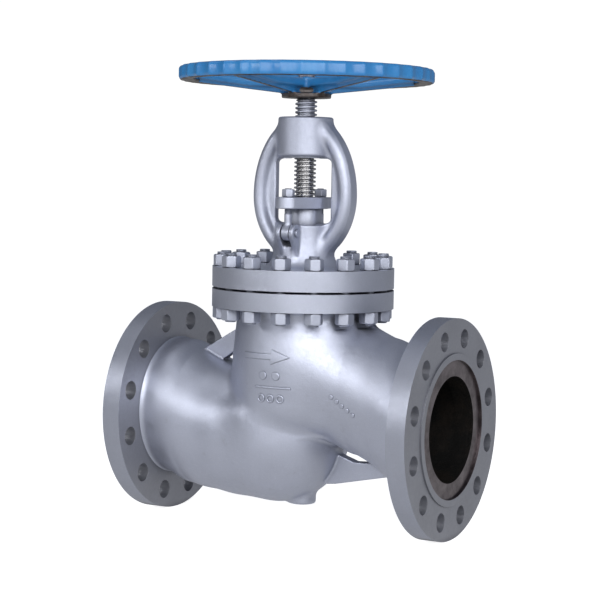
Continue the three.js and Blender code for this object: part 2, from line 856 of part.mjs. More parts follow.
for (const [name, side] of [["front", -1], ["back", 1]]) {
  const y = side * GLAND.boltOffset;
  const half = GLAND.eyeThickness / 2;
  const nutBottom = GLAND.flangeTop + GAP;
  const nutTop = nutBottom + GLAND.nutHeight;
  const shank = disk(GLAND.boltRadius, GLAND.pinHeight, nutTop + GLAND.boltAboveNut, 12);
  const eyebolt = cut(
    union(
      barX(GLAND.eyeRadius, -half, half, y, GLAND.pinHeight, 16),
      shank.translate([0, y, 0]),
    ),
    barX(GLAND.pinRadius + GAP, -half - 1, half + 1, y, GLAND.pinHeight),
  );
  addPiece(`gland_eyebolt_${name}`, eyebolt, FINISH.silverPaint);
  const pinEnd = GLAND.earOuter + GLAND.pinHeadLength;
  const pin = union(
    barX(GLAND.pinRadius, -pinEnd, pinEnd, y, GLAND.pinHeight),
    barX(GLAND.pinRadius + GLAND.pinHead, GLAND.earOuter + GAP, pinEnd, y, GLAND.pinHeight),
  );
  addPiece(`eyebolt_pin_${name}`, pin, FINISH.silverPaint);
  const nut = cut(
    hexagon(GLAND.nutAcrossFlats, nutBottom, nutTop),
    disk(GLAND.boltRadius + GAP, nutBottom - 1, nutTop + 1, 12),
  );
  addPiece(`gland_nut_${name}`, nut.translate([0, y, 0]), FINISH.silverPaint);
}

// ---- handwheel ----------------------------------------------------------------------------------
function wheelRim() {
  const { rimInner: inner, rimOuter: outer, rimBottom: low, rimTop: high } = WHEEL;
  const profile = [
    [inner, low + 4],
    [inner + 4, low],
    [outer - 6, low],
    [outer, low + 5],
    [outer, high - 6],
    [outer - 4, high],
    [inner + 4, high],
    [inner, high - 4],
    [inner, low + 4],
  ].map(([radius, height]) => new THREE.Vector2(radius, height));
  const rim = new THREE.LatheGeometry(profile, 2 * WHEEL.flutes).rotateX(Math.PI / 2);
  const place = rim.attributes.position;
  for (let i = 0; i < place.count; i += 1) {
    const radius = Math.hypot(place.getX(i), place.getY(i));
    const step = Math.round((Math.atan2(place.getY(i), place.getX(i)) * WHEEL.flutes) / Math.PI);
    if (radius < outer - 1 || step % 2 === 0) continue;
    const shrink = (radius - WHEEL.fluteDepth) / radius;
    place.setXYZ(i, place.getX(i) * shrink, place.getY(i) * shrink, place.getZ(i));
  }
  return solid(rim);
}

function wheelSpoke() {
  const plate = plateXZ(polygon(SPOKE_PLATE), WHEEL.spokeWidth);
  return plate.add(plateXZ(polygon(SPOKE_RIB), WHEEL.ribWidth));
}

function handwheelShape() {
  const hub = union(
    disk(WHEEL.hubRadius, WHEEL.collarBottom, WHEEL.hubTop, 24),
    disk(WHEEL.collarRadius, WHEEL.collarBottom, WHEEL.collarTop, 32),
  );
  const half = STEM.squareSide / 2 + GAP;
  return cut(
    union(hub, wheelRim(), around(wheelSpoke(), WHEEL.spokes, WHEEL.firstSpoke)),
    box(-half, half, -half, half, WHEEL.collarBottom - 1, WHEEL.hubTop + 1),
  );
}
addPiece("handwheel", handwheelShape(), FINISH.bluePaint);
const washerBottom = WHEEL.hubTop + GAP;
const washerTop = washerBottom + WHEEL.washerHeight;
const washer = tube(STEM.endRadius + 0.5, WHEEL.washerRadius, washerBottom, washerTop);
addPiece("wheel_washer", washer, FINISH.bareSteel);
const wheelNutBottom = washerTop + GAP;
const wheelNutTop = wheelNutBottom + WHEEL.nutHeight;
const wheelNut = cut(
  hexagon(WHEEL.nutAcrossFlats, wheelNutBottom, wheelNutTop),
  disk(STEM.endRadius + GAP, wheelNutBottom - 1, wheelNutTop + 1, 16),
);
addPiece("wheel_nut", wheelNut, FINISH.bareSteel);

// ---- bonnet studs and nuts ----------------------------------------------------------------------
const lowerNutTop = JOINT.bodyFlangeBottom - GAP;
const lowerNutBottom = lowerNutTop - JOINT.nutHeight;
const upperNutBottom = JOINT.bonnetFlangeTop + GAP;
const upperNutTop = upperNutBottom + JOINT.nutHeight;
const stud = union(
  disk(JOINT.studRadius, lowerNutBottom - JOINT.studBelowNut, upperNutTop + JOINT.studAboveNut, 8),
  hexagon(JOINT.nutAcrossFlats, lowerNutBottom, lowerNutTop),
);
const upperNut = cut(
  hexagon(JOINT.nutAcrossFlats, upperNutBottom, upperNutTop),
  disk(JOINT.studRadius + GAP, upperNutBottom - 1, upperNutTop + 1, 8),
);
for (let k = 0; k < JOINT.studs; k += 1) {
  const place = new THREE.Group();
  const angle = degrees(JOINT.firstStud + (360 * k) / JOINT.studs);
  place.position.set(JOINT.studCircle * Math.cos(angle), JOINT.studCircle * Math.sin(angle), 0);
  place.rotation.z = angle;
  valve.add(place);
  const number = String(k + 1).padStart(2, "0");
  addPiece(`bonnet_stud_${number}`, stud, FINISH.silverPaint, place);
  addPiece(`bonnet_nut_${number}`, upperNut, FINISH.silverPaint, place);
}

export default valve;
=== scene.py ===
"""A flanged globe valve with a bolted bonnet, an oval yoke and a dished handwheel.

It is built round the CAD frame. Shapes are worked out in millimetres in the frame's own axes and
become metres when a mesh is made. The castings are smooth blends of simple solids, turned into quads.
Machined pieces are turned about an axis or stacked up from rings.
"""

import json
import math

import bpy
import numpy as np
from mathutils import Matrix, Vector

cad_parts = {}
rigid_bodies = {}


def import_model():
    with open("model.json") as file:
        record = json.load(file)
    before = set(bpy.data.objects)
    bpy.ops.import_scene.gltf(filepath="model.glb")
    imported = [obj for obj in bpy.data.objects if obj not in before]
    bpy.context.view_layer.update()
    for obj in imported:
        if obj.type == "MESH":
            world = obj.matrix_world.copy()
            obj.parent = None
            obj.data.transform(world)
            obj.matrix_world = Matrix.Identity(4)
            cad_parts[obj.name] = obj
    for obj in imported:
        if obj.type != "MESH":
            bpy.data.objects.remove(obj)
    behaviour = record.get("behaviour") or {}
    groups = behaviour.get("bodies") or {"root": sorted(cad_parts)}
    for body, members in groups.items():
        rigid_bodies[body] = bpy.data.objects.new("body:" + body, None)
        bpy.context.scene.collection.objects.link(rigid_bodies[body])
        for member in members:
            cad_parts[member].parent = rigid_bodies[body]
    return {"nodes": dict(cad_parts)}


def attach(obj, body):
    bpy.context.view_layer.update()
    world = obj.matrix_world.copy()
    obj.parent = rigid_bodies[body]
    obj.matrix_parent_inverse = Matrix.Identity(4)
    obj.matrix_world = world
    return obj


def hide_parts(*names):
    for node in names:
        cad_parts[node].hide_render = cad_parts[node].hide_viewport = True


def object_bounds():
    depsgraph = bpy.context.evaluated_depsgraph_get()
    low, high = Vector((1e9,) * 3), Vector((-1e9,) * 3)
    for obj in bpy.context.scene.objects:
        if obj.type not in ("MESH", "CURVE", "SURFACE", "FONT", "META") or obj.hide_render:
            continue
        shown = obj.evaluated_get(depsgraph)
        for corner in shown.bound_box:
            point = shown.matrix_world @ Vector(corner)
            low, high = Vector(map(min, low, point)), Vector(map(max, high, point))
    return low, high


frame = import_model()
cad_low, cad_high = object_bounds()
MM = 0.001
TAU = 2 * math.pi

# The angle in degrees above which an edge is kept crisp.
ALL_SMOOTH, TURNED_EDGE = 180, 30


# ---- meshes ----


def new_mesh(name, points, faces, sharp):
    """A mesh from points in millimetres and faces that all have the same number of corners."""
    points = np.asarray(points, np.float64) * MM
    faces = np.asarray(faces, np.int32)
    size = faces.shape[1]
    mesh = bpy.data.meshes.new(name)
    mesh.vertices.add(len(points))
    mesh.vertices.foreach_set("co", points.astype(np.float32).ravel())
    mesh.loops.add(faces.size)
    mesh.loops.foreach_set("vertex_index", faces.ravel())
    mesh.polygons.add(len(faces))
    mesh.polygons.foreach_set("loop_start", np.arange(0, faces.size, size, dtype=np.int32))
    mesh.update(calc_edges=True)
    mesh.validate()
    mesh.shade_smooth()
    mesh.set_sharp_from_angle(angle=math.radians(sharp))
    return mesh


def place(name, mesh, material, matrix=None):
    """An object of that mesh, with one material or a list, at a place given in metres."""
    obj = bpy.data.objects.new(name, mesh)
    bpy.context.scene.collection.objects.link(obj)
    for m in material if isinstance(material, (list, tuple)) else [material]:
        if m.name not in mesh.materials:
            mesh.materials.append(m)
    if matrix is not None:
        obj.matrix_world = matrix
    return obj


def assign(mesh, chosen):
    """Gives each face the material whose number, or whose yes or no, chosen says for its middle."""
    middles = np.empty(len(mesh.polygons) * 3)
    mesh.polygons.foreach_get("center", middles)
    numbers = chosen(*(middles.reshape(-1, 3).T / MM))
    mesh.polygons.foreach_set("material_index", numbers.astype(np.int32))


def stand_in(obj, body, slot, *nodes):
    """obj rides on a CAD body and stands for these CAD nodes; slot is not used."""
    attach(obj, body)
    if nodes:
        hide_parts(*nodes)
    return obj


# What most pieces ride on, and the name of a material slot.
BODY = ("valve_body", "silver_paint")


def piece(mesh, material, body, slot, *nodes, matrix=None):
    """A mesh as an object of the same name, put in its place and standing for CAD nodes."""
    return stand_in(place(mesh.name, mesh, material, matrix), body, slot, *nodes)


def at(x, y, z, turn=0.0):
    """A place in millimetres, turned about Z by degrees."""
    return Matrix.Translation(Vector((x, y, z)) * MM) @ Matrix.Rotation(math.radians(turn), 4, "Z")


def rounded(profile, radii, steps):
    """The profile with each corner rounded by its radius; a radius of 0 keeps the corner."""
    points = np.asarray(profile, float)
    count = len(points)
    radii = [radii] * count if np.isscalar(radii) else radii
    out = []
    for i, (corner, radius) in enumerate(zip(points, radii)):
        before, after = points[i - 1], points[(i + 1) % count]
        if radius <= 0:
            out.append(corner)
            continue
        u, v = before - corner, after - corner
        lu, lv = np.linalg.norm(u), np.linalg.norm(v)
        u, v = u / lu, v / lv
        half = math.acos(np.clip(u @ v, -1, 1)) / 2
        reach = min(radius / math.tan(half), 0.48 * lu, 0.48 * lv)
        radius = reach * math.tan(half)
        middle = corner + (u + v) / np.linalg.norm(u + v) * radius / math.sin(half)
        start, end = corner + u * reach - middle, corner + v * reach - middle
        spread = math.atan2(start[0] * end[1] - start[1] * end[0], start @ end)
        for s in np.linspace(0, spread, steps):
            c, n = math.cos(s), math.sin(s)
            out.append(middle + (start[0] * c - start[1] * n, start[0] * n + start[1] * c))
    return np.array(out)


def grid_faces(rows, columns):
    """Quads of a grid of rows x columns points that closes on itself both ways."""
    i, j = np.meshgrid(np.arange(rows), np.arange(columns), indexing="ij")
    a, b = (i + 1) % rows, (j + 1) % columns
    quads = np.stack([i * columns + j, i * columns + b, a * columns + b, a * columns + j], -1)
    return quads.reshape(-1, 4)


def turned(name, profile, segments, axis="z"):
    """A closed ring of [radius, height] points turned about an axis."""
    profile = np.asarray(profile, float)
    angle = np.linspace(0, TAU, segments, endpoint=False)
    radius, height = profile[:, :1], profile[:, 1:]
    ring = [radius * np.cos(angle), radius * np.sin(angle), height + 0 * angle]
    if axis == "x":
        ring = [ring[2], ring[0], ring[1]]
    points = np.stack(ring, -1).reshape(-1, 3)
    faces = grid_faces(len(profile), segments)
    r, h = profile.T
    area = 0.5 * np.sum(r * np.roll(h, -1) - np.roll(r, -1) * h)
    return new_mesh(name, points, faces if area < 0 else faces[:, ::-1], TURNED_EDGE)


# ---- blended solids ----


def union(a, b, k=0.0):
    """The union of two distance fields, with a fillet of about k millimetres."""
    if k <= 0:
        return np.minimum(a, b)
    h = np.maximum(k - np.abs(a - b), 0) / k
    return np.minimum(a, b) - h * h * k / 4


def cut(a, b, k=0.0):
    """a without b, with an edge rounded by about k millimetres."""
    return -union(-a, b, k)


def overlap(a, b, k=0.0):
    """What a and b share, with an edge rounded by about k millimetres."""
    return -union(-a, -b, k)


def between(value, low, high):
    """Signed distance to the slab from low to high."""
    return np.abs(value - (low + high) / 2) - (high - low) / 2


def cylinder(x, y, z, radius, low, high, k=0.0, cx=0.0, cy=0.0):
    """An upright cylinder with its rims rounded by about k."""
    side = np.sqrt((x - cx) ** 2 + (y - cy) ** 2) - radius
    return overlap(side, between(z, low, high), k)


def block(x, y, z, low, high, r):
    """A box between two corners with edges of radius r."""
    q = [between(value, a, b) + r for value, a, b in zip((x, y, z), low, high)]
    outside = np.sqrt(sum(np.maximum(v, 0) ** 2 for v in q))
    return outside + np.minimum(np.maximum(np.maximum(q[0], q[1]), q[2]), 0) - r


def flat_box(u, v, half_u, half_v, r):
    """Signed distance to a flat box about the origin with corners of radius r."""
    qu, qv = np.abs(u) - (half_u - r), np.abs(v) - (half_v - r)
    outside = np.sqrt(np.maximum(qu, 0) ** 2 + np.maximum(qv, 0) ** 2)
    return outside + np.minimum(np.maximum(qu, qv), 0) - r


def solid_of_revolution(x, y, z, profile, k=0.0, samples=400, smoothing=8):
    """A solid turned about Z from [height, radius] stations, smoothed over that many millimetres."""
    heights, radii = np.array(profile, float).T
    low, high = heights[0], heights[-1]
    fine = np.linspace(low, high, samples)
    curve = np.interp(fine, heights, radii)
    width = max(3, int(samples * smoothing / (high - low)))
    padded = np.pad(curve, width, mode="edge")
    curve = np.convolve(padded, np.ones(2 * width + 1) / (2 * width + 1), "valid")
    slope = np.interp(z, fine, np.gradient(curve, fine))
    side = (np.sqrt(x * x + y * y) - np.interp(z, fine, curve)) / np.sqrt(1 + slope**2)
    return overlap(side, between(z, low, high), k)


def spline(stations, steps):
    """A smooth curve through the stations (Catmull-Rom), with steps pieces between two of them."""
    p = np.array(stations, float)
    p = np.vstack([2 * p[0] - p[1], p, 2 * p[-1] - p[-2]])
    t = np.linspace(0, 1, steps, endpoint=False)[:, None]
    out = []
    for a, b, c, d in zip(p, p[1:], p[2:], p[3:]):
        bend, twist = 2 * a - 5 * b + 4 * c - d, 3 * b - a - 3 * c + d
        out.append(0.5 * (2 * b + (c - a) * t + bend * t**2 + twist * t**3))
    return np.vstack([*out, p[-2:-1]])


def duct(x, y, z, stations):
    """A round duct that follows [x, z, radius] stations in the plane y = 0, with round ends."""
    nodes = spline(stations, 5)
    best = None
    for (x0, z0, r0), (x1, z1, r1) in zip(nodes, nodes[1:]):
        dx, dz = x1 - x0, z1 - z0
        t = np.clip(((x - x0) * dx + (z - z0) * dz) / (dx * dx + dz * dz), 0, 1)
        flat = (x - x0 - t * dx) ** 2 + (z - z0 - t * dz) ** 2
        section = np.sqrt(flat + y * y) - (r0 + t * (r1 - r0))
        best = section if best is None else np.minimum(best, section)
    return best


def swept(x, y, z, stations):
    """A round duct over the same kind of stations, smooth along its length and cut flat at its ends."""
    nodes = spline(stations, 24)
    along, centre, radius = nodes[np.argsort(nodes[:, 0])].T
    lean = 1 / np.sqrt(1 + np.interp(x, along, np.gradient(centre, along)) ** 2)
    side = np.sqrt(y * y + ((z - np.interp(x, along, centre)) * lean) ** 2) - np.interp(x, along, radius)
    return overlap(side, between(x, along[0], along[-1]))


def polygon(u, v, corners):
    """Signed distance to a flat polygon, negative inside it."""
    corners = np.array(corners, float)
    best, sign = np.inf, 1.0
    for a, b in zip(corners, np.roll(corners, 1, axis=0)):
        e = b - a
        wu, wv = u - a[0], v - a[1]
        t = np.clip((wu * e[0] + wv * e[1]) / (e @ e), 0, 1)
        best = np.minimum(best, (wu - e[0] * t) ** 2 + (wv - e[1] * t) ** 2)
        c1, c2, c3 = v >= a[1], v < b[1], e[0] * wv > e[1] * wu
        flip = (c1 & c2 & c3) | (~c1 & ~c2 & ~c3)
        sign = sign * np.where(flip, -1.0, 1.0)
    return sign * np.sqrt(best)


def plate(flat, across, thickness, k=0.0):
    """A flat distance field given a thickness, with its edges rounded by about k."""
    return overlap(flat, np.abs(across) - thickness / 2, k)


def gradient(field, p, h=0.15):
    """The slope of a field at points, measured h millimetres to each side."""
    slopes = []
    for axis in range(3):
        step = np.zeros(3)
        step[axis] = h
        a, b = p + step, p - step
        slopes.append(field(*a.T) - field(*b.T))
    return np.stack(slopes, -1) / (2 * h)


def skin(field, low, high, step, passes=3):
    """Points and quads of the surface where the field is zero, by surface nets, then drawn onto it."""
    axes = [np.arange(a, b + step, step) for a, b in zip(low, high)]
    nx, ny, nz = map(len, axes)
    y, z = axes[1][None, :, None], axes[2][None, None, :]
    values = np.empty((nx, ny, nz), np.float32)
    slab = 24
    for i in range(0, nx, slab):
        values[i : i + slab] = field(axes[0][i : i + slab, None, None], y, z)
    inside = values < 0
    count = sum(
        inside[a : nx - 1 + a, b : ny - 1 + b, c : nz - 1 + c].astype(np.int8)
        for a in (0, 1) for b in (0, 1) for c in (0, 1)
    )
    cells = np.argwhere((count > 0) & (count < 8))
    number = np.full(count.shape, -1, np.int32)
    number[tuple(cells.T)] = np.arange(len(cells))
    total, hits = np.zeros((len(cells), 3)), np.zeros(len(cells))
    for axis in range(3):
        others = [k for k in range(3) if k != axis]
        for b in (0, 1):
            for c in (0, 1):
                offset = np.zeros(3, int)
                offset[others[0]], offset[others[1]] = b, c
                start = cells + offset
                end = start.copy()
                end[:, axis] += 1
                f0, f1 = values[tuple(start.T)], values[tuple(end.T)]
                crossed = (f0 < 0) != (f1 < 0)
                t = np.where(crossed, f0 / np.where(crossed, f0 - f1, 1), 0)
                spot = start.astype(float)
                spot[:, axis] += t
                total[crossed] += spot[crossed]
                hits += crossed
    points = np.array([a[0] for a in axes]) + total / hits[:, None] * step
    quads = []
    for axis in range(3):
        o1, o2 = [k for k in range(3) if k != axis]
        first = np.moveaxis(inside, (axis, o1, o2), (0, 1, 2))
        change = first[:-1, 1:-1, 1:-1] != first[1:, 1:-1, 1:-1]
        spots = np.argwhere(change) + (0, 1, 1)
        solid_first = first[tuple(spots.T)]
        ring = []
        for d1, d2 in ((-1, -1), (0, -1), (0, 0), (-1, 0)):
            cell = np.empty_like(spots)
            cell[:, axis], cell[:, o1], cell[:, o2] = spots[:, 0], spots[:, 1] + d1, spots[:, 2] + d2
            ring.append(number[tuple(cell.T)])
        quad = np.stack(ring, -1)
        flip = solid_first if axis != 1 else ~solid_first
        quad[~flip] = quad[~flip][:, ::-1]
        quads.append(quad)
    longest = 0.6 * step
    for _ in range(passes):
        f = field(*points.T)
        g = gradient(field, points)
        move = g * (f / np.maximum((g * g).sum(-1), 0.05))[:, None]
        length = np.linalg.norm(move, axis=1, keepdims=True)
        points -= move * np.minimum(1, longest / np.maximum(length, 1e-9))
    return points, np.vstack(quads)


# ---- the body casting ----

# Along the pipe axis: the back of each pipe flange, its face and the raised face.
FLANGE_BACK, FLANGE_FACE, END = 285.0, 322.0, 325.0
# Radii of a pipe flange: bore, recess, raised face, rim, and the hub behind it, which starts at HUB_START.
PIPE_BORE, PIPE_RECESS, PIPE_RAISED, PIPE_RIM, PIPE_HUB, HUB_START = 99.6, 130.0, 142.5, 207.5, 141.0, 262.0
PIPE_HOLES, PIPE_HOLE, PIPE_CIRCLE = 12, 18.0, 172.5
# The bonnet joint: each flange from its lower to its upper face, their rim, and the studs.
BODY_FLANGE, BONNET_FLANGE, JOINT_RIM = (212.5, 247.4), (251.6, 290.0), 175.5
STUD_CIRCLE, STUDS, FIRST_STUD, STUD_HOLE = 156.5, 16, 13.75, 12.0

# The middle of the bowl's hollow as (x, z), and its outside as (x, z, radius).
BOWL = (-46.0, -31.0)
BOWL_OUTSIDE = (-44.0, -33.0, 137.0)
# The chamber over the seat as (height, radius) stations.
CHAMBER = [
    (-22, 98), (0, 121), (14, 130), (30, 134), (75, 135), (120, 133.5), (150, 130.5), (190, 127), (226, 128),
]
# Ducts as (x, z, radius) stations.
INLET_OUTSIDE = [
    (-330, 0, 132), (-272, 0, 132), (-220, -17, 130), (-170, -31, 127), (-110, -38, 128), (-44, -38, 116),
]
OUTLET_OUTSIDE = [
    (330, 0, 128), (284, 1, 127), (240, 13, 121), (190, 38, 114),
    (140, 61, 115), (80, 86, 121), (0, 94, 119), (-60, 96, 84),
]
INLET_PASSAGE = [
    (-345, 0, 100), (-290, 0, 100), (-225, -17, 102), (-170, -29, 106), (-110, -32, 112), (*BOWL, 120),
]
OUTLET_PASSAGE = [(345, 0, 100), (290, 0, 100), (235, 15, 98), (185, 36, 96), (130, 62, 96), (60, 92, 98)]
# The rib over the inlet duct and the one under the outlet duct, as outlines in the plane y = 0.
INLET_RIB = [(-246, 92), (-240, 105), (-118, 177), (-118, 139), (-194, 84)]
OUTLET_RIB = [(30, -130), (84, -124), (215, -96), (215, -74), (124, -78), (70, -60)]
RIB_THICKNESS = 21.0


def stud_places():
    """The number and the place of each stud of the bonnet joint."""
    for k in range(STUDS):
        angle = math.radians(FIRST_STUD) + TAU * k / STUDS
        yield k, STUD_CIRCLE * math.cos(angle), STUD_CIRCLE * math.sin(angle)


def body_outside(x, y, z):
    """Distance to the outside of the body casting, without the turned flanges."""
    casting = union(solid_of_revolution(x, y, z, CHAMBER), swept(x, y, z, OUTLET_OUTSIDE), 30)
    # Above its middle the bowl is drawn upwards, and then capped by a square term.
    rise = z - BOWL_OUTSIDE[1]
    rise = np.where(rise > 0, rise * 0.5 + 0.02 * np.maximum(rise - 28, 0) ** 2, rise)
    bowl = np.sqrt((x - BOWL_OUTSIDE[0]) ** 2 + 1.06 * y * y + rise**2) - BOWL_OUTSIDE[2]
    casting = union(casting, union(swept(x, y, z, INLET_OUTSIDE), bowl, 16), 12)
    casting = union(casting, plate(polygon(x, z, INLET_RIB), y, RIB_THICKNESS, 2.5), 2.5)
    casting = union(casting, plate(polygon(x, z, OUTLET_RIB), y, RIB_THICKNESS, 2.5), 3)
    drain_boss = cylinder(x, y, z, 27, -170, -120, 6, cx=6)
    casting = union(casting, drain_boss, 8)
    rho = np.sqrt(y * y + z * z)
    casting = union(casting, overlap(rho - 180, FLANGE_BACK + 4 - np.abs(x)), 17)
    casting = cut(casting, overlap(PIPE_HUB - rho, HUB_START - np.abs(x)))
    casting = union(casting, cylinder(x, y, z, 141, BODY_FLANGE[0] + 1, 240), 22)
    # Room for the lower nuts.
    for _, sx, sy in stud_places():
        casting = cut(casting, cylinder(x, y, z, 20.5, 180, BODY_FLANGE[0] + 0.6, cx=sx, cy=sy), 3)
    return overlap(overlap(casting, np.abs(x) - 300), z - 240)


def body_inside(x, y, z):
    """Distance to the hollow: under the seat from the inlet, and over it to the outlet."""
    bowl = np.sqrt((x - BOWL[0]) ** 2 + y * y + (z - BOWL[1]) ** 2)
    below = cut(duct(x, y, z, INLET_PASSAGE), cylinder(x, y, z, 130, 5, 300), 8)
    partition = overlap(bowl - 140, z - 25)
    outlet = cut(duct(x, y, z, OUTLET_PASSAGE), partition, 6)
    above = cylinder(x, y, z, 112, 25, 260, 2)
    hole = cylinder(x, y, z, 100.3, -10, 30)
    return union(union(below, hole), union(outlet, above, 8))


def body_field(x, y, z):
    """Distance to the body casting."""
    return cut(body_outside(x, y, z), body_inside(x, y, z), 2)


# ---- bonnet and yoke ----

HUB_RADIUS, HUB = 53.0, (502.0, 577.0)
# The oval of the yoke: its middle, half width, height above and below, and the section of the arms.
ARM_CENTRE, ARM_HALF, ARM_RISE, ARM_DROP, ARM_WIDTH, ARM_DEPTH = 427.0, 106.0, 153.0, 126.0, 25.0, 44.0
WINDOW_CENTRE, WINDOW_HALF, WINDOW_RISE, WINDOW_CORNER = 435.5, 60.0, 64.5, 12.0
# The eyebolts: their distance from the stem, and the height of their pins.
BOLT_Y, PIN_Z = 64.0, 356.0
NECK = [(280, 70), (292, 68), (306, 61), (330, 54.5), (350, 52.5), (371, 52)]
EAR = [(30, 300), (58, 316), (76, 345), (70, 371), (30, 371)]


def oval(x, z):
    """Signed distance, nearly, to the outline of the yoke."""
    v = z - ARM_CENTRE
    rise = np.where(v > 0, ARM_RISE, ARM_DROP)
    k0 = np.sqrt((x / ARM_HALF) ** 2 + (v / rise) ** 2)
    k1 = np.sqrt((x / ARM_HALF**2) ** 2 + (v / rise**2) ** 2)
    return k0 * (k0 - 1) / np.maximum(k1, 1e-6)


def bonnet_field(x, y, z):
    """Distance to the bonnet casting with its yoke, without the turned flange."""
    flat = oval(x, z)
    arms = flat_box(flat + ARM_WIDTH / 2, y, ARM_WIDTH / 2, ARM_DEPTH / 2, ARM_WIDTH / 2 - 0.3)
    window = flat_box(x, z - WINDOW_CENTRE, WINDOW_HALF, WINDOW_RISE, WINDOW_CORNER)
    yoke = union(arms, plate(flat + 3, y, 16), 10)
    yoke = cut(yoke, window, 5)
    yoke = overlap(yoke, z - 562, 4)
    neck = solid_of_revolution(x, y, z, NECK, 3)
    hub = cylinder(x, y, z, HUB_RADIUS, *HUB, 5)
    casting = union(union(yoke, neck, 14), hub, 12)
    side = np.abs(y)
    ear = union(polygon(side, z, EAR), np.sqrt((side - BOLT_Y) ** 2 + (z - PIN_Z) ** 2) - 16, 3)
    ears = plate(ear, np.abs(x) - 14, 10, 3)
    bridge = overlap(block(x, side, z, (-12, -2, 280), (12, 62, 331), 4), np.sqrt(x * x + y * y) - 66, 6)
    casting = union(union(casting, bridge, 10), ears, 6)
    casting = union(casting, cylinder(x, y, z, 82, 270, BONNET_FLANGE[1] - 0.8), 13)
    bore = union(cylinder(x, y, z, 34, 330, 400), cylinder(x, y, z, 34, 470, 600))
    casting = cut(casting, bore, 2)
    slot = block(x, side, z, (-9, BOLT_Y - 17, PIN_Z - 19), (9, 120, 420), 0.5)
    casting = cut(casting, slot, 1.5)
    return overlap(casting, 283 - z)


# ---- handwheel ----

RIM_OUT, RIM_IN, RIM_LOW, RIM_HIGH = 245.0, 217.0, 642.5, 670.5
FLUTES, SPOKES, FIRST_SPOKE = 40, 5, -97.0
# A spoke seen from the side: the broad top and the rib under it, as (distance from the stem, height).
SPOKE_TOP = [(10, 634), (110, 636), (222, 651), (222, 664), (110, 650), (10, 650)]
SPOKE_RIB = [(10, 622), (44, 622), (222, 643.5), (222, 656), (100, 645), (10, 645)]


def wheel_centre_field(x, y, z):
    """Hub, collar and spokes, without the rim."""
    rho = np.sqrt(x * x + y * y)
    wheel = union(cylinder(x, y, z, 30, 614, 650, 3), cylinder(x, y, z, 47.5, 613.2, 622, 2), 4)
    for k in range(SPOKES):
        a = math.radians(FIRST_SPOKE + 360 / SPOKES * k)
        u, v = x * math.cos(a) + y * math.sin(a), -x * math.sin(a) + y * math.cos(a)
        top, rib = plate(polygon(u, z, SPOKE_TOP), v, 34, 5), plate(polygon(u, z, SPOKE_RIB), v, 11, 4)
        spoke = union(top, rib, 8)
        wheel = union(wheel, spoke, 8)
    return overlap(wheel, rho - 222)


def rim_mesh():
    """The rim, with shallow flutes pressed into its outer side."""
    corners = [(RIM_IN, RIM_LOW + 2), (RIM_OUT, RIM_LOW), (RIM_OUT, RIM_HIGH), (RIM_IN, RIM_HIGH)]
    section = rounded(corners, [5, 7, 8, 6], 7)
    around = np.linspace(0, TAU, FLUTES * 20, endpoint=False)
    depth, fades_from, fade = 4.2, 230, 12
    hollow = np.sqrt(np.sin(around * FLUTES / 2) ** 2 + 0.006) - 0.077
    radius = section[:, :1] - depth * hollow * np.clip((section[:, :1] - fades_from) / fade, 0, 1)
    points = np.stack([radius * np.cos(around), radius * np.sin(around), section[:, 1:] + 0 * around], -1)
    faces = grid_faces(len(section), len(around))
    return new_mesh("handwheel_rim", points.reshape(-1, 3), faces[:, ::-1], 60)


# ---- fasteners and threads ----


def stacked(name, radii, heights, sharp=50):
    """A skin over rings of radii, one row for each height; the last row joins the first, inside."""
    rows, columns = radii.shape
    angle = np.linspace(0, TAU, columns, endpoint=False)
    level = np.asarray(heights, float)[:, None] + 0 * radii
    points = np.stack([radii * np.cos(angle), radii * np.sin(angle), level], -1)
    return new_mesh(name, points.reshape(-1, 3), grid_faces(rows, columns), sharp)


def ring_of(radius, columns=96):
    """One row of equal radii for stacked."""
    return np.full((1, columns), radius)


def hex_nut(name, across, height, hole):
    """A hexagon nut standing on z = 0, with both ends chamfered."""
    angle = np.linspace(0, TAU, 96, endpoint=False)
    corner = TAU / 12
    flats = across / 2 / np.cos((angle + corner) % (2 * corner) - corner)
    flats = np.minimum(flats, across / 2 / math.cos(corner) - 0.4)
    levels = [0, 0.25, 0.8, 1.6, 2.6]
    z = np.array([*levels, height / 2, *(height - level for level in levels[::-1])])
    cone = across / 2 - 0.6 + 1.73 * np.minimum(z, height - z)[:, None]
    side = union(flats[None] + 0 * cone, cone, 0.7)
    radii = np.vstack([ring_of(hole), ring_of(hole + 0.8), side, ring_of(hole + 1), ring_of(hole)])
    return stacked(name, radii, [0.8, 0, *z, height, height - 1], 28)


def thread(name, minor, major, pitch, heights, crest, flank, columns, chamfer):
    """A right-hand threaded rod; its crest and flanks are given in millimetres along the axis."""
    z = np.asarray(heights, float)[:, None]
    along = (z - pitch * np.linspace(0, 1, columns, endpoint=False)) % pitch
    lift = np.clip(np.minimum(along - (pitch - crest - 2 * flank), pitch - along) / flank, 0, 1)
    radii = minor + (major - minor) * lift * lift * (3 - 2 * lift)
    radii = np.minimum(radii, major - chamfer + np.minimum(z - z[0], z[-1] - z))
    radii = np.vstack([ring_of(0.01, columns), radii, ring_of(0.01, columns)])
    return stacked(name, radii, [z[0, 0], *z[:, 0], z[-1, 0]])


def prism(name, outline, low, high):
    """A flat outline given a height."""
    count = len(outline)
    points = [(*p, low) for p in outline] + [(*p, high) for p in outline]
    mesh = bpy.data.meshes.new(name)
    sides = [(i, (i + 1) % count, count + (i + 1) % count, count + i) for i in range(count)]
    ends = [tuple(range(count - 1, -1, -1)), tuple(range(count, 2 * count))]
    mesh.from_pydata((np.array(points) * MM).tolist(), [], sides + ends)
    return mesh


def circle(radius, count=48, cx=0.0, cy=0.0, start=0.0, end=TAU, closed=False):
    """Points of a circle or of an arc, with its last point where it is closed."""
    angle = np.linspace(start, end, count, endpoint=closed)
    return [(cx + radius * math.cos(a), cy + radius * math.sin(a)) for a in angle]


NUT_HEIGHT = 22
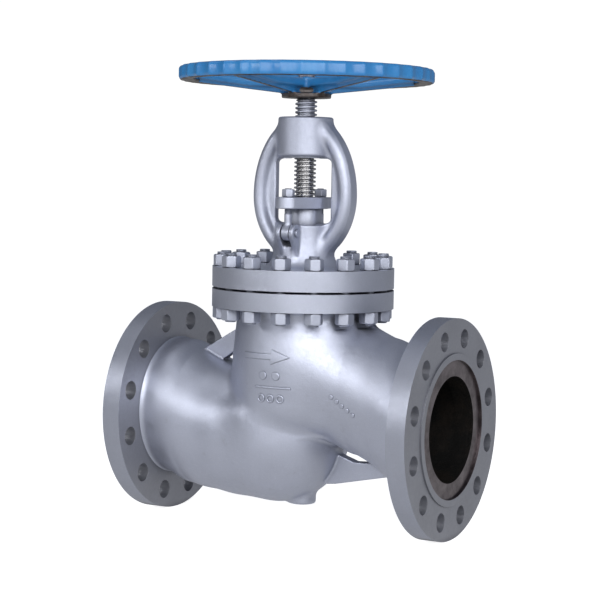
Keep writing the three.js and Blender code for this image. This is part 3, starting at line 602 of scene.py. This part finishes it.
# The stem: radius of its shaft, of its thread, the pitch, the span of the thread, the square and the top.
SHAFT, STEM_MINOR, STEM_MAJOR, PITCH = 19.7, 16.5, 21.0, 8.0
THREAD_SPAN, SQUARE, END_TOP = (416.0, 612.0), 26.0, 674.0


# ---- materials ----


class Nodes:
    """Builds a node tree line by line."""

    def __init__(self, name):
        self.material = bpy.data.materials.new(name)
        self.material.use_nodes = True
        self.tree = self.material.node_tree
        self.tree.nodes.clear()
        self.shader = self.add("ShaderNodeBsdfPrincipled")
        self.add("ShaderNodeOutputMaterial", dict(Surface=self.shader.outputs[0]))
        self.place = self.add("ShaderNodeTexCoord").outputs["Object"]

    def add(self, kind, inputs=None, **settings):
        """A node with its settings, and with values or other nodes' outputs for its inputs."""
        node = self.tree.nodes.new(kind)
        for key, value in settings.items():
            setattr(node, key, value)
        for key, value in (inputs or {}).items():
            self.feed(node.inputs[key], value)
        return node

    def feed(self, socket, value):
        if isinstance(value, bpy.types.NodeSocket):
            self.tree.links.new(value, socket)
        elif value is not None:
            socket.default_value = value

    def set(self, **values):
        """Sets the shader's own sockets."""
        for key, value in values.items():
            self.feed(self.shader.inputs[key.replace("_", " ")], value)

    def noise(self, scale, detail=4.0, rough=0.55, where=None):
        inputs = dict(Vector=where or self.place, Scale=scale, Detail=detail, Roughness=rough)
        return self.add("ShaderNodeTexNoise", inputs).outputs["Fac"]

    def ramp(self, value, low, high, to_low=0.0, to_high=1.0):
        """The value mapped from one range to another, and held at its ends."""
        inputs = {"Value": value, "From Min": low, "From Max": high, "To Min": to_low, "To Max": to_high}
        return self.add("ShaderNodeMapRange", inputs).outputs[0]

    def times(self, a, b):
        return self.add("ShaderNodeMath", {0: a, 1: b}, operation="MULTIPLY").outputs[0]

    def mix(self, fac, a, b):
        """Colour a where fac is 0 and colour b where it is 1."""
        return self.add("ShaderNodeMix", {"Factor": fac, 6: a, 7: b}, data_type="RGBA").outputs[2]

    def bump(self, height, strength, distance, normal=None):
        inputs = dict(Strength=strength, Distance=distance, Height=height, Normal=normal)
        return self.add("ShaderNodeBump", inputs).outputs[0]

    def corners(self, colour, dark, amount, distance, low=0.35, high=0.85):
        """The colour, mixed with a dark one where ambient occlusion finds the surface hidden in a corner:
        painted shade.
        """
        occlusion = self.add("ShaderNodeAmbientOcclusion", dict(Distance=distance), samples=8)
        hidden = self.ramp(occlusion.outputs["AO"], low, high, 1.0, 0.0)
        return self.mix(self.times(hidden, amount), colour, dark)


def silver_paint(name, tint=(0.53, 0.556, 0.655, 1), grain=1.0, rough=(0.38, 0.52), lines=None):
    """Aluminium paint over a casting: fine grain, broad unevenness, and painted shade in the corners.

    lines are the traces of the lathe, as the kind of wave, its axis and its scale.
    """
    n = Nodes(name)
    cloud = n.noise(9, 5)
    fleck = n.noise(420, 3, 0.6)
    darker = tuple(c * 0.82 for c in tint[:3]) + (1,)
    colour = n.mix(n.ramp(cloud, 0.35, 0.65, 0.0, 0.5), tint, darker)
    lighter = tuple(min(1, c * 1.25) for c in tint[:3]) + (1,)
    colour = n.mix(n.ramp(fleck, 0.55, 0.75, 0.0, 0.35), colour, lighter)
    # Painted shade: darker grey wherever ambient occlusion finds the surface hidden in a corner.
    colour = n.corners(colour, (0.07, 0.07, 0.078, 1), 0.65, 0.02)
    stain = n.ramp(n.noise(38, 6, 0.65), 0.62, 0.78, 0.0, 0.25)
    colour = n.mix(stain, colour, (0.24, 0.235, 0.24, 1))
    n.set(Base_Color=colour, Metallic=0.88)
    n.set(Roughness=n.ramp(n.noise(150, 5), 0.3, 0.7, *rough))
    normal = n.bump(n.noise(70, 4, 0.5), 0.16 * grain, 0.001)
    normal = n.bump(n.noise(330, 5, 0.65), 0.4 * grain, 0.0005, normal)
    if lines:
        kind, axis, scale = lines
        inputs = dict(Vector=n.place, Scale=scale, Distortion=0.6, Detail=2.0)
        wave = n.add("ShaderNodeTexWave", inputs, wave_type=kind, **{f"{kind.lower()}_direction": axis})
        normal = n.bump(wave.outputs["Fac"], 0.22, 0.0003, normal)
    n.set(Normal=normal)
    return n.material


def blue_enamel(name):
    """The wheel's paint: cloudy, dusty, pale on its edges as wear and as a painted highlight, and darkened in
    its corners by painted shade.
    """
    n = Nodes(name)
    cloud = n.noise(14, 5)
    colour = n.mix(n.ramp(cloud, 0.3, 0.7), (0.016, 0.155, 0.41, 1), (0.03, 0.215, 0.49, 1))
    # Pale paint on the convex edges, in patches: partly wear and partly a painted highlight on the ridges.
    edges = n.ramp(n.add("ShaderNodeNewGeometry").outputs["Pointiness"], 0.54, 0.66)
    wear_and_glint = n.times(edges, n.ramp(n.noise(70, 6, 0.7), 0.45, 0.6))
    colour = n.mix(n.times(wear_and_glint, 0.8), colour, (0.42, 0.52, 0.62, 1))
    dust = n.ramp(n.noise(26, 8, 0.7), 0.6, 0.75, 0.0, 0.45)
    colour = n.mix(dust, colour, (0.12, 0.32, 0.55, 1))
    # Painted shade: darker blue wherever ambient occlusion finds the surface hidden in a corner.
    colour = n.corners(colour, (0.01, 0.03, 0.07, 1), 0.6, 0.015)
    n.set(Base_Color=colour, Metallic=0.0, Coat_Weight=0.35, Coat_Roughness=0.15)
    n.set(Roughness=n.ramp(n.noise(45, 5), 0.3, 0.7, 0.28, 0.48))
    normal = n.bump(n.noise(60, 5, 0.6), 0.3, 0.0012)
    n.set(Normal=n.bump(n.noise(350, 3, 0.7), 0.15, 0.0003, normal))
    return n.material


def bare_metal(name, light, dark, rough, stain, turning=None):
    """Bare metal in two tones with rust in it and painted shade in its corners, and with fine rings round Z
    where turning is given.
    """
    n = Nodes(name)
    patch = n.noise(30, 6, 0.65)
    colour = n.mix(n.ramp(patch, 0.4, 0.65), light, dark)
    # Painted shade: near black wherever ambient occlusion finds the surface hidden in a corner or a thread
    # groove.
    colour = n.corners(colour, (0.012, 0.011, 0.010, 1), 0.85, 0.006, 0.2, 0.8)
    rust = n.ramp(n.noise(90, 8, 0.7), 0.62, 0.75, 0.0, stain)
    colour = n.mix(rust, colour, (0.10, 0.055, 0.03, 1))
    n.set(Base_Color=colour, Metallic=1.0, Roughness=n.ramp(n.noise(80, 4), 0.3, 0.7, *rough))
    normal = n.bump(n.noise(500, 3, 0.6), 0.12, 0.0003)
    if turning:
        drawn_out = n.add("ShaderNodeMapping", dict(Vector=n.place, Scale=(0.02, 0.02, 1.0))).outputs[0]
        normal = n.bump(n.noise(turning, 2, 0.5, drawn_out), 0.2, 0.0003, normal)
    n.set(Normal=normal)
    return n.material


def raw_bore(name):
    """The unpainted inside of the casting: black scale, with brown rust in patches."""
    n = Nodes(name)
    patch = n.noise(22, 8, 0.7)
    colour = n.mix(n.ramp(patch, 0.45, 0.7), (0.005, 0.0048, 0.0046, 1), (0.014, 0.0105, 0.008, 1))
    colour = n.mix(n.ramp(n.noise(160, 6, 0.7), 0.6, 0.72, 0.0, 0.4), colour, (0.04, 0.034, 0.03, 1))
    n.set(Base_Color=colour, Specular_IOR_Level=0.12)
    n.set(Roughness=n.ramp(n.noise(40, 5), 0.3, 0.7, 0.55, 0.85))
    normal = n.bump(n.noise(30, 8, 0.7), 0.9, 0.004)
    n.set(Normal=n.bump(n.noise(240, 6, 0.7), 0.5, 0.0012, normal))
    return n.material


def dull(name, colour, other):
    """A matt material of two tones."""
    n = Nodes(name)
    n.set(Base_Color=n.mix(n.ramp(n.noise(120, 6), 0.35, 0.65), colour, other))
    n.set(Roughness=n.ramp(n.noise(240, 4), 0.3, 0.7, 0.7, 0.9))
    n.set(Normal=n.bump(n.noise(600, 3), 0.3, 0.0004))
    return n.material


CAST = silver_paint("cast_silver")
YOKE = silver_paint("yoke_silver", (0.49, 0.515, 0.61, 1), 1.0, (0.45, 0.58))
MACHINED = silver_paint("machined_silver", (0.48, 0.504, 0.59, 1), 0.4, (0.36, 0.48))
RIM_LINES = silver_paint("turned_rim_silver", (0.46, 0.483, 0.565, 1), 0.35, (0.38, 0.5), ("BANDS", "Z", 260))
RIM_X = silver_paint("turned_pipe_rim", (0.42, 0.44, 0.515, 1), 0.35, (0.38, 0.5), ("BANDS", "X", 260))
NUT = silver_paint("nut_silver", (0.50, 0.525, 0.615, 1), 0.8, (0.42, 0.56))
FACE = silver_paint("flange_face_silver", (0.36, 0.367, 0.405, 1), 0.5, (0.42, 0.55), ("RINGS", "X", 190))
BORE = raw_bore("raw_bore")
RECESS = bare_metal("recess_steel", (0.21, 0.182, 0.19, 1), (0.10, 0.084, 0.089, 1), (0.28, 0.42), 0.3)
BLUE = blue_enamel("blue_enamel")
THREAD = bare_metal("thread_steel", (0.52, 0.515, 0.52, 1), (0.36, 0.355, 0.36, 1), (0.16, 0.26), 0.03)
THREAD_TOP = silver_paint("thread_silver", (0.50, 0.525, 0.615, 1), 0.4, (0.38, 0.5))
STEEL = bare_metal("turned_steel", (0.45, 0.44, 0.43, 1), (0.25, 0.24, 0.23, 1), (0.18, 0.32), 0.12, 900)
STAINLESS = bare_metal(
    "ground_stainless", (0.6, 0.6, 0.61, 1), (0.42, 0.42, 0.43, 1), (0.12, 0.26), 0.03, 900
)
BRONZE = bare_metal("turned_bronze", (0.52, 0.33, 0.12, 1), (0.30, 0.18, 0.07, 1), (0.2, 0.35), 0.1, 900)
# Dark primer for the wheel's underside and hub: partly bare primer, and partly painted shade under the wheel.
PRIMER_AND_SHADE = bare_metal("primer_and_painted_shade", (0.20, 0.185, 0.18, 1), (0.07, 0.055, 0.048, 1), (0.4, 0.6), 0.6)
GRAPHITE = dull("graphite", (0.02, 0.02, 0.021, 1), (0.05, 0.05, 0.052, 1))


# ---- pieces ----


def casting_mesh(name, field, low, high, step, inner=None):
    """A casting's mesh; the faces that lie on the surface of its hollow take the second material."""
    points, quads = skin(field, low, high, step)
    mesh = new_mesh(name, points, quads, ALL_SMOOTH)
    if inner is not None:
        near = 1.5
        hidden = np.abs(inner(*points[quads].mean(1).T)) < near
        mesh.polygons.foreach_set("material_index", hidden.astype(np.int32))
    return mesh


def drilled(obj, holes, width):
    """Cuts cylinders out of a piece, and then bevels every crisp edge by the width in millimetres.

    A hole is its place, its radius and a length that goes right through.
    """
    cutters = bpy.data.collections.new(obj.name + "_cutters")
    for k, (matrix, radius, length) in enumerate(holes):
        mesh = prism(f"{obj.name}_cutter_{k}", circle(radius), -length / 2, length / 2)
        tool = bpy.data.objects.new(mesh.name, mesh)
        tool.matrix_world = matrix
        cutters.objects.link(tool)
    bpy.context.scene.collection.children.link(cutters)
    boolean = obj.modifiers.new("holes", "BOOLEAN")
    boolean.operand_type = "COLLECTION"
    boolean.collection = cutters
    boolean.operation = "DIFFERENCE"
    boolean.solver = "EXACT"
    bevel = obj.modifiers.new("edges", "BEVEL")
    bevel.width = width * MM
    bevel.segments = 3
    bevel.limit_method = "ANGLE"
    bevel.angle_limit = math.radians(40)
    bevel.harden_normals = True
    bevel.use_clamp_overlap = True
    graph = bpy.context.evaluated_depsgraph_get()
    made = bpy.data.meshes.new_from_object(obj.evaluated_get(graph))
    old = obj.data
    obj.modifiers.clear()
    obj.data = made
    bpy.data.meshes.remove(old)
    for tool in list(cutters.objects):
        bpy.data.objects.remove(tool)
    bpy.data.collections.remove(cutters)


def pipe_flange(sign):
    """The end flange with its bolt holes, at the outlet for a sign of 1 and at the inlet for -1."""
    back, ledge = FLANGE_BACK - 3, END - 5
    profile = [
        (PIPE_BORE, back), (PIPE_BORE, ledge), (PIPE_RECESS, ledge), (PIPE_RECESS, END), (PIPE_RAISED, END),
        (PIPE_RAISED, FLANGE_FACE), (PIPE_RIM, FLANGE_FACE), (PIPE_RIM, FLANGE_BACK),
        (125, FLANGE_BACK), (125, back),
    ]
    mesh = turned(f"pipe_flange_{'outlet' if sign > 0 else 'inlet'}", profile, 160, axis="x")
    obj = place(mesh.name, mesh, [RIM_X, FACE, RECESS, BORE])
    holes = []
    for k in range(PIPE_HOLES):
        a = TAU * (k + 0.5) / PIPE_HOLES
        middle = (FLANGE_BACK + FLANGE_FACE) / 2, PIPE_CIRCLE * math.cos(a), PIPE_CIRCLE * math.sin(a)
        spot = Matrix.Translation(Vector(middle) * MM)
        holes.append((spot @ Matrix.Rotation(math.pi / 2, 4, "Y"), PIPE_HOLE, 60))
    drilled(obj, holes, 1.2)
    paint_flange(obj.data)
    if sign < 0:
        obj.matrix_world = Matrix.Rotation(math.pi, 4, "Z")
        bpy.context.view_layer.update()
    return obj


def paint_flange(mesh):
    """Gives the rim (0), the faces (1), the recess (2) and the bore (3) their own materials."""
    normals = np.empty(len(mesh.polygons) * 3)
    mesh.polygons.foreach_get("normal", normals)
    across = np.abs(normals.reshape(-1, 3)[:, 0])

    def number(x, y, z):
        rho = np.hypot(y, z)
        inner = rho < PIPE_RECESS + 1
        slot = np.where(rho > 200, 0, 1)
        slot = np.where(inner & (across > 0.3) & (x > 300), 2, slot)
        slot = np.where(inner & (x > END - 5.5) & (rho > 126), 2, slot)
        return np.where(rho < PIPE_BORE + 1, 3, slot)

    assign(mesh, number)


def body_pieces():
    """The body: its casting, both pipe flanges and the flange under the bonnet."""
    box, step = ((-306, -160, -182), (306, 160, 246)), 2.5
    mesh = casting_mesh("body_casting", body_field, *box, step, body_inside)
    piece(mesh, [CAST, BORE], *BODY, "body")
    for sign in (-1, 1):
        stand_in(pipe_flange(sign), *BODY)
    low, high = BODY_FLANGE
    ring = [
        (128, low), (JOINT_RIM, low), (JOINT_RIM, high), (124.9, high), (124.9, high - 6), (112, high - 6),
        (112, low + 8),
    ]
    joint_flange("body_flange", ring, "body")


def joint_flange(name, ring, node):
    """A turned flange of the bonnet joint with its stud holes."""
    mesh = turned(name, ring, 160)
    obj = place(name, mesh, [RIM_LINES, MACHINED])
    heights = [height for _, height in ring]
    middle = (min(heights) + max(heights)) / 2
    drilled(obj, [(at(x, y, middle), STUD_HOLE, 90) for _, x, y in stud_places()], 1.0)
    assign(obj.data, lambda x, y, z: np.hypot(x, y) < JOINT_RIM - 1.5)
    stand_in(obj, *BODY, node)


def bonnet_pieces():
    """The bonnet with its yoke, and its flange."""
    box, step = ((-112, -86, 281), (112, 86, 580)), 1.6
    mesh = casting_mesh("bonnet_casting", bonnet_field, *box, step)
    piece(mesh, YOKE, *BODY, "bonnet")
    low, high = BONNET_FLANGE
    bore = 278.2
    ring = [
        (30.6, low + 4.6), (30.6, bore), (21, bore), (21, high - 2), (60, high - 2), (60, high),
        (JOINT_RIM, high), (JOINT_RIM, low), (124.4, low), (124.4, low - 6.1), (96, low - 6.1), (96, low - 2),
    ]
    joint_flange("bonnet_flange", ring[::-1], "bonnet")


def fastener_pieces():
    """The studs of the bonnet joint, each with a nut under the joint and one over it."""
    nut = hex_nut("stud_nut", 32, NUT_HEIGHT, 10.9)
    low, high = BODY_FLANGE[0] - 0.3, BONNET_FLANGE[1] + 0.3
    ends = [np.arange(187.2, 192, 0.25), [193, 308], np.arange(310, 317.31, 0.25)]
    stud = thread("stud", 9.5, 10.7, 2.5, np.concatenate(ends), 0.5, 0.9, 48, 1.2)
    for k, x, y in stud_places():
        number = f"{k + 1:02d}"
        turn = math.degrees(math.atan2(y, x)) + (k * 37 % 60) * 0.25
        for name, mesh, matrix, node in (
            ("upper_nut_", nut, at(x, y, high, turn), "bonnet_nut_"),
            ("lower_nut_", nut, at(x, y, low - NUT_HEIGHT, turn + 11), "bonnet_stud_"),
            ("stud_", stud, at(x, y, 0, turn), "bonnet_stud_"),
        ):
            obj = place(name + number, mesh, NUT, matrix)
            stand_in(obj, *BODY, node + number)


def seat_and_disc():
    """The seat ring in the partition and the disc that closes on it."""
    seat = [(90, 6), (100, 6), (100, 25.3), (107, 25.3), (107, 31), (103, 34), (92, 34), (90, 31)]
    mesh = turned("seat_ring", rounded(seat, 0.6, 3), 128)
    piece(mesh, STAINLESS, "valve_body", "stainless", "body_seat_ring")
    disc = [
        (0.01, 46), (70, 46), (82, 34.3), (101, 34.3), (101, 54), (97, 58), (56, 62), (46, 74), (46, 112),
        (36.3, 112), (36.3, 79.3), (28, 79.3), (28, 61.1), (0.01, 61.1),
    ]
    mesh = turned("disc_plug", rounded(disc, [0] + [0.8] * 12 + [0], 3), 128)
    piece(mesh, STAINLESS, "disc", "stainless", "disc")


def stem_pieces():
    """The stem: plain shaft, trapezoidal thread, the square under the wheel and the threaded end."""
    low, high = THREAD_SPAN
    ride = ("stem_and_wheel", "bare_steel", "stem")
    shaft = [
        (0.01, 61.4), (27.4, 61.4), (27.4, 79), (SHAFT, 79), (SHAFT, 194), (27, 198), (27, 207), (SHAFT, 214),
        (SHAFT, low + 1), (0.01, low + 1),
    ]
    piece(turned("stem_shaft", rounded(shaft, [0] + [0.6] * 8 + [0], 3), 96), STEEL, *ride)
    levels = np.arange(low, high + 0.1, 0.5)
    mesh = thread("stem_thread", STEM_MINOR, STEM_MAJOR, PITCH, levels, 2.8, 1.25, 96, 4.5)
    piece(mesh, [THREAD, THREAD_TOP], *ride)
    assign(mesh, lambda x, y, z: z > 540)
    angle = np.linspace(0, TAU, 96, endpoint=False)
    flats = SQUARE / 2 / np.cos((angle + TAU / 8) % (TAU / 4) - TAU / 8)
    square = np.minimum(flats, SQUARE / 2 * 1.33)[None]
    radii = np.vstack([ring_of(0.01), square, square, square - 1.5, ring_of(0.01)])
    piece(stacked("stem_square", radii, [high - 1, high - 1, 648.5, 650, 650], 25), STEEL, *ride)
    levels = np.arange(649, END_TOP + 0.1, 0.25)
    piece(thread("stem_end", 8.6, 10, 2.5, levels, 0.5, 0.9, 64, 1.4), THREAD_TOP, *ride)


def yoke_nut_pieces():
    """The bronze bush in the hub of the yoke, and the screw that holds it."""
    ring = [(21.4, 499), (42, 499), (42, 505.7), (33.7, 505.7), (33.7, 576), (21.4, 576)]
    mesh = turned("yoke_bush", rounded(ring, 1.0, 4), 96)
    assign(mesh, lambda x, y, z: z < 506.5)
    piece(mesh, [BRONZE, NUT], "valve_body", "bronze", "yoke_nut")
    screw = [(0.01, 560.3), (4, 560.3), (4, 575), (1.6, 575), (1.6, 571), (0.01, 571)]
    mesh = turned("yoke_set_screw", screw, 32)
    piece(mesh, STEEL, "valve_body", "bare_steel", "yoke_nut_set_screw", matrix=at(0, 33, 0))


def gland_pieces():
    """The gland with its two eyebolts, their pins and their nuts."""
    tube = [(21.6, 357.6), (33.7, 357.6), (33.7, 401.7), (21.6, 401.7)]
    mesh = turned("gland_sleeve", rounded(tube, 1.0, 4), 96)
    piece(mesh, MACHINED, "gland", "silver_paint", "gland_follower")
    lobe, middle, low, high = 23.0, 46.0, 402, 424
    tilt = math.acos((middle - lobe) / BOLT_Y)
    a, b, c, d = TAU / 4 - tilt, TAU / 4 + tilt, 3 * TAU / 4 - tilt, 3 * TAU / 4 + tilt
    outline = circle(lobe, 28, 0, BOLT_Y, a, b, True) + circle(middle, 20, 0, 0, b, c, True)
    outline += circle(lobe, 28, 0, -BOLT_Y, c, d, True) + circle(middle, 20, 0, 0, d - TAU, a, True)
    obj = place("gland_plate", prism("gland_plate", outline, low, high), CAST)
    holes = ((0, 21.6), (BOLT_Y, 8.5), (-BOLT_Y, 8.5))
    drilled(obj, [(at(0, y, (low + high) / 2), radius, 40) for y, radius in holes], 2.2)
    stand_in(obj, "gland", "silver_paint", "gland_flange")
    nut = hex_nut("gland_nut", 22, 15, 7.2)
    bolt = thread("eyebolt_thread", 6.0, 7.0, 2, np.arange(390, 440.81, 0.25), 0.4, 0.7, 48, 1.0)
    shank = eye_mesh()
    pin = [(0.01, -23), (4.4, -23), (5, -22.4), (5, 19.3), (7.5, 19.3), (7.5, 22.2), (6.8, 23), (0.01, 23)]
    pin = turned("eyebolt_pin", pin, 48, axis="x")
    for side, y in (("front", -BOLT_Y), ("back", BOLT_Y)):
        for mesh in (bolt, shank):
            obj = place(f"{mesh.name}_{side}", mesh, NUT, at(0, y, 0))
            stand_in(obj, *BODY, f"gland_eyebolt_{side}")
        obj = place(f"eyebolt_pin_{side}_turned", pin, NUT, at(0, y, PIN_Z))
        stand_in(obj, *BODY, f"eyebolt_pin_{side}")
        obj = place(f"gland_nut_{side}_hexagon", nut, NUT, at(0, y, high + 0.3, 12 if y < 0 else 41))
        stand_in(obj, f"gland_nut_{side}", "silver_paint", f"gland_nut_{side}")


def eye_mesh():
    """The eye and the plain shank of a gland bolt."""

    def field(x, y, z):
        rho = np.sqrt(y * y + (z - PIN_Z) ** 2)
        bolt = union(overlap(rho - 14, np.abs(x) - 8, 2.5), cylinder(x, y, z, 7, PIN_Z, 394), 6)
        return cut(overlap(bolt, z - 392), rho - 5.2, 0.8)

    points, quads = skin(field, (-10, -16, PIN_Z - 16), (10, 16, 394), 0.9)
    return new_mesh("eyebolt_eye", points, quads, 45)


def rib_offset(x, y):
    """How far a place is from the middle plane of the nearest spoke."""
    half = 180 / SPOKES
    turn = (np.degrees(np.arctan2(y, x)) - FIRST_SPOKE + half) % (360 / SPOKES) - half
    return np.hypot(x, y) * np.abs(np.sin(np.radians(turn)))


def wheel_pieces():
    """The handwheel with its washer and nut; its underside, its hub and the foot of its rim take the dark
    primer, partly as painted shade.
    """
    rim = rim_mesh()
    ride = ("stem_and_wheel", "blue_paint", "handwheel")
    piece(rim, [BLUE, PRIMER_AND_SHADE], *ride)
    # The bottom and the lower inner side of the rim are dark: partly primer and partly painted shade under
    # the rim.
    assign(rim, lambda x, y, z: (np.hypot(x, y) < 238) & (z < RIM_LOW + 12) | (z < RIM_LOW + 2.5))
    reach, step = RIM_IN + 8, 1.8
    points, quads = skin(wheel_centre_field, (-reach, -reach, 610), (reach, reach, 672), step)
    mesh = new_mesh("handwheel_centre", points, quads, ALL_SMOOTH)
    piece(mesh, [BLUE, PRIMER_AND_SHADE], *ride)
    # Faces that look downwards; on the ribs they take the dark primer, partly as painted shade under the
    # wheel.
    underside = gradient(wheel_centre_field, points[quads].mean(1))[:, 2] < -0.6

    def primer_and_shade(x, y, z):
        rib, hub = underside & (rib_offset(x, y) < 5), (np.hypot(x, y) < 33) & (z < 649)
        return rib | hub | (z < 622.5)

    assign(mesh, primer_and_shade)
    ring = [(10.5, 650.3), (21, 650.3), (21, 653.3), (10.5, 653.3)]
    mesh = turned("wheel_washer_turned", rounded(ring, 0.5, 3), 64)
    piece(mesh, NUT, "stem_and_wheel", "bare_steel", "wheel_washer")
    mesh = hex_nut("wheel_nut_hexagon", 30, 16, 10.2)
    piece(mesh, NUT, "stem_and_wheel", "bare_steel", "wheel_nut", matrix=at(0, 0, 653.6, 20))


def inner_nodes():
    """The small solids inside the valve keep their CAD shape and get a worked finish."""
    finishes = {
        "disc_nut": STAINLESS, "disc_nut_lock_pin": STAINLESS, "backseat_bush": STAINLESS,
        "packing_base_ring": STEEL, "bonnet_gasket": GRAPHITE,
    }
    finishes.update({f"packing_ring_{k}": GRAPHITE for k in range(1, 6)})
    for name, material in finishes.items():
        node = frame["nodes"][name]
        for slot in node.material_slots:
            slot.material = material


# ---- raised marks on the casting ----

MARK_HEIGHT = 2.2
ARROW = [(-57, 121), (8, 121), (8, 112), (47, 126.5), (8, 141), (8, 132), (-57, 132)]


def bowl_marks(x, z):
    """A flow arrow over two pips, a bar and three rings."""
    marks = polygon(x, z, ARROW)
    for px in (-8, 20):
        marks = np.minimum(marks, np.hypot(x - px, z - 91) - 8)
    marks = np.minimum(marks, polygon(x, z, [(-26, 67), (50, 67), (50, 71), (-26, 71)]))
    for px in (-12, 8, 28):
        marks = np.minimum(marks, np.abs(np.hypot(x - px, z - 48) - 6.5) - 1.8)
    return marks


def outlet_marks(x, z):
    """Five pips in a row along the outlet duct."""
    marks = np.inf
    for k in range(5):
        marks = np.minimum(marks, np.hypot(x - 127 - 10.75 * k, z - 58 + 7.75 * k) - 4.5)
    return marks


def cast_marks():
    """The raised marks, as thin pieces that lie on the casting and reach a little into it."""
    for name, marks, low, high in (
        ("bowl_marks", bowl_marks, (-65, -150, 30), (60, -100, 150)),
        ("outlet_marks", outlet_marks, (118, -125, 15), (180, -95, 70)),
    ):
        def field(x, y, z, marks=marks):
            proud = body_outside(x, y, z) - MARK_HEIGHT
            raised = overlap(marks(x, z), proud, 1.6)
            return overlap(overlap(raised, -2.5 - proud), y + 40)

        points, quads = skin(field, low, high, 1.0)
        piece(new_mesh(name, points, quads, ALL_SMOOTH), CAST, *BODY)


# ---- camera, light and floor ----


def look():
    """The camera, level with the bonnet and far off to the front right."""
    azimuth, elevation, roll = (math.radians(v) for v in (28.96, 4.16, 1.01))
    target, distance = Vector((-2.5, 1.3, 221.3)) * MM, 3.324
    level = math.cos(elevation)
    back = Vector((math.sin(azimuth) * level, -math.cos(azimuth) * level, math.sin(elevation)))
    right = (-back).cross(Vector((0, 0, 1))).normalized()
    up = right.cross(-back)
    r = right * math.cos(roll) + up * math.sin(roll)
    u = up * math.cos(roll) - right * math.sin(roll)
    camera = bpy.data.cameras.new("camera")
    camera.lens, camera.sensor_width, camera.sensor_fit = 102.39, 36, "HORIZONTAL"
    camera.clip_start, camera.clip_end = 0.05, 60
    obj = bpy.data.objects.new("camera", camera)
    bpy.context.scene.collection.objects.link(obj)
    turn = Matrix((r, u, back)).transposed().to_4x4()
    obj.matrix_world = Matrix.Translation(target + back * distance) @ turn
    bpy.context.scene.camera = obj


def lamp(name, energy, size, where, size_y):
    """A soft rectangular lamp that points at the middle of the valve."""
    light = bpy.data.lights.new(name, "AREA")
    light.energy, light.size, light.shape, light.size_y = energy, size, "RECTANGLE", size_y
    obj = bpy.data.objects.new(name, light)
    bpy.context.scene.collection.objects.link(obj)
    obj.location = where
    obj.rotation_euler = (Vector((0, 0, 0.25)) - Vector(where)).to_track_quat("-Z", "Y").to_euler()


def studio():
    """Soft light from the right, a white backdrop and a plain pale floor.

    The room and the floor are brighter to the camera than to the valve. Neither is part of the object.
    """
    scene = bpy.context.scene
    scene.view_settings.view_transform = "Standard"
    world = bpy.data.worlds.new("studio")
    scene.world = world
    world.use_nodes = True
    tree = world.node_tree
    new, link = tree.nodes.new, tree.links.new
    room = tree.nodes["Background"]
    room.inputs["Color"].default_value = (0.80, 0.86, 1.0, 1)
    split, level = new("ShaderNodeSeparateXYZ"), new("ShaderNodeMapRange")
    level.inputs["From Min"].default_value = -1
    level.inputs["To Min"].default_value = 0.11
    level.inputs["To Max"].default_value = 0.36
    link(new("ShaderNodeTexCoord").outputs["Generated"], split.inputs[0])
    link(split.outputs["X"], level.inputs["Value"])
    link(level.outputs[0], room.inputs["Strength"])
    backdrop, mix = new("ShaderNodeBackground"), new("ShaderNodeMixShader")
    backdrop.inputs["Color"].default_value = (1, 1, 1, 1)
    backdrop.inputs["Strength"].default_value = 1.05
    link(new("ShaderNodeLightPath").outputs["Is Camera Ray"], mix.inputs[0])
    link(room.outputs[0], mix.inputs[1])
    link(backdrop.outputs[0], mix.inputs[2])
    link(mix.outputs[0], tree.nodes["World Output"].inputs["Surface"])
    lamp("key", 64, 3.9, (1.25, -1.85, 1.25), 1.5)
    lamp("fill", 10, 1.2, (-1.3, -2.0, 1.05), 0.5)
    lamp("top", 3.5, 1.4, (-0.9, -0.5, 2.3), 1.0)
    floor = bpy.data.meshes.new("floor")
    reach, height = 12.0, float(cad_low[2]) - 0.0005
    corners = [(-reach, -reach), (reach, -reach), (reach, reach), (-reach, reach)]
    floor.from_pydata([(x, y, height) for x, y in corners], [], [(0, 1, 2, 3)])
    n = Nodes("floor")
    pale = n.mix(n.ramp(n.noise(3), 0.4, 0.6), (0.88, 0.88, 0.88, 1), (0.9, 0.9, 0.9, 1))
    seen = n.add("ShaderNodeLightPath").outputs["Is Camera Ray"]
    n.set(Base_Color=n.mix(seen, (0.25, 0.25, 0.25, 1), pale), Roughness=0.7)
    n.set(Emission_Color=pale, Emission_Strength=n.ramp(seen, 0, 1, 0.42, 0.98))
    place("floor", floor, n.material)


def main():
    """Everything in order."""
    look()
    studio()
    for pieces in (
        body_pieces, bonnet_pieces, fastener_pieces, seat_and_disc, stem_pieces, yoke_nut_pieces,
        gland_pieces, wheel_pieces, inner_nodes, cast_marks,
    ):
        pieces()


main()
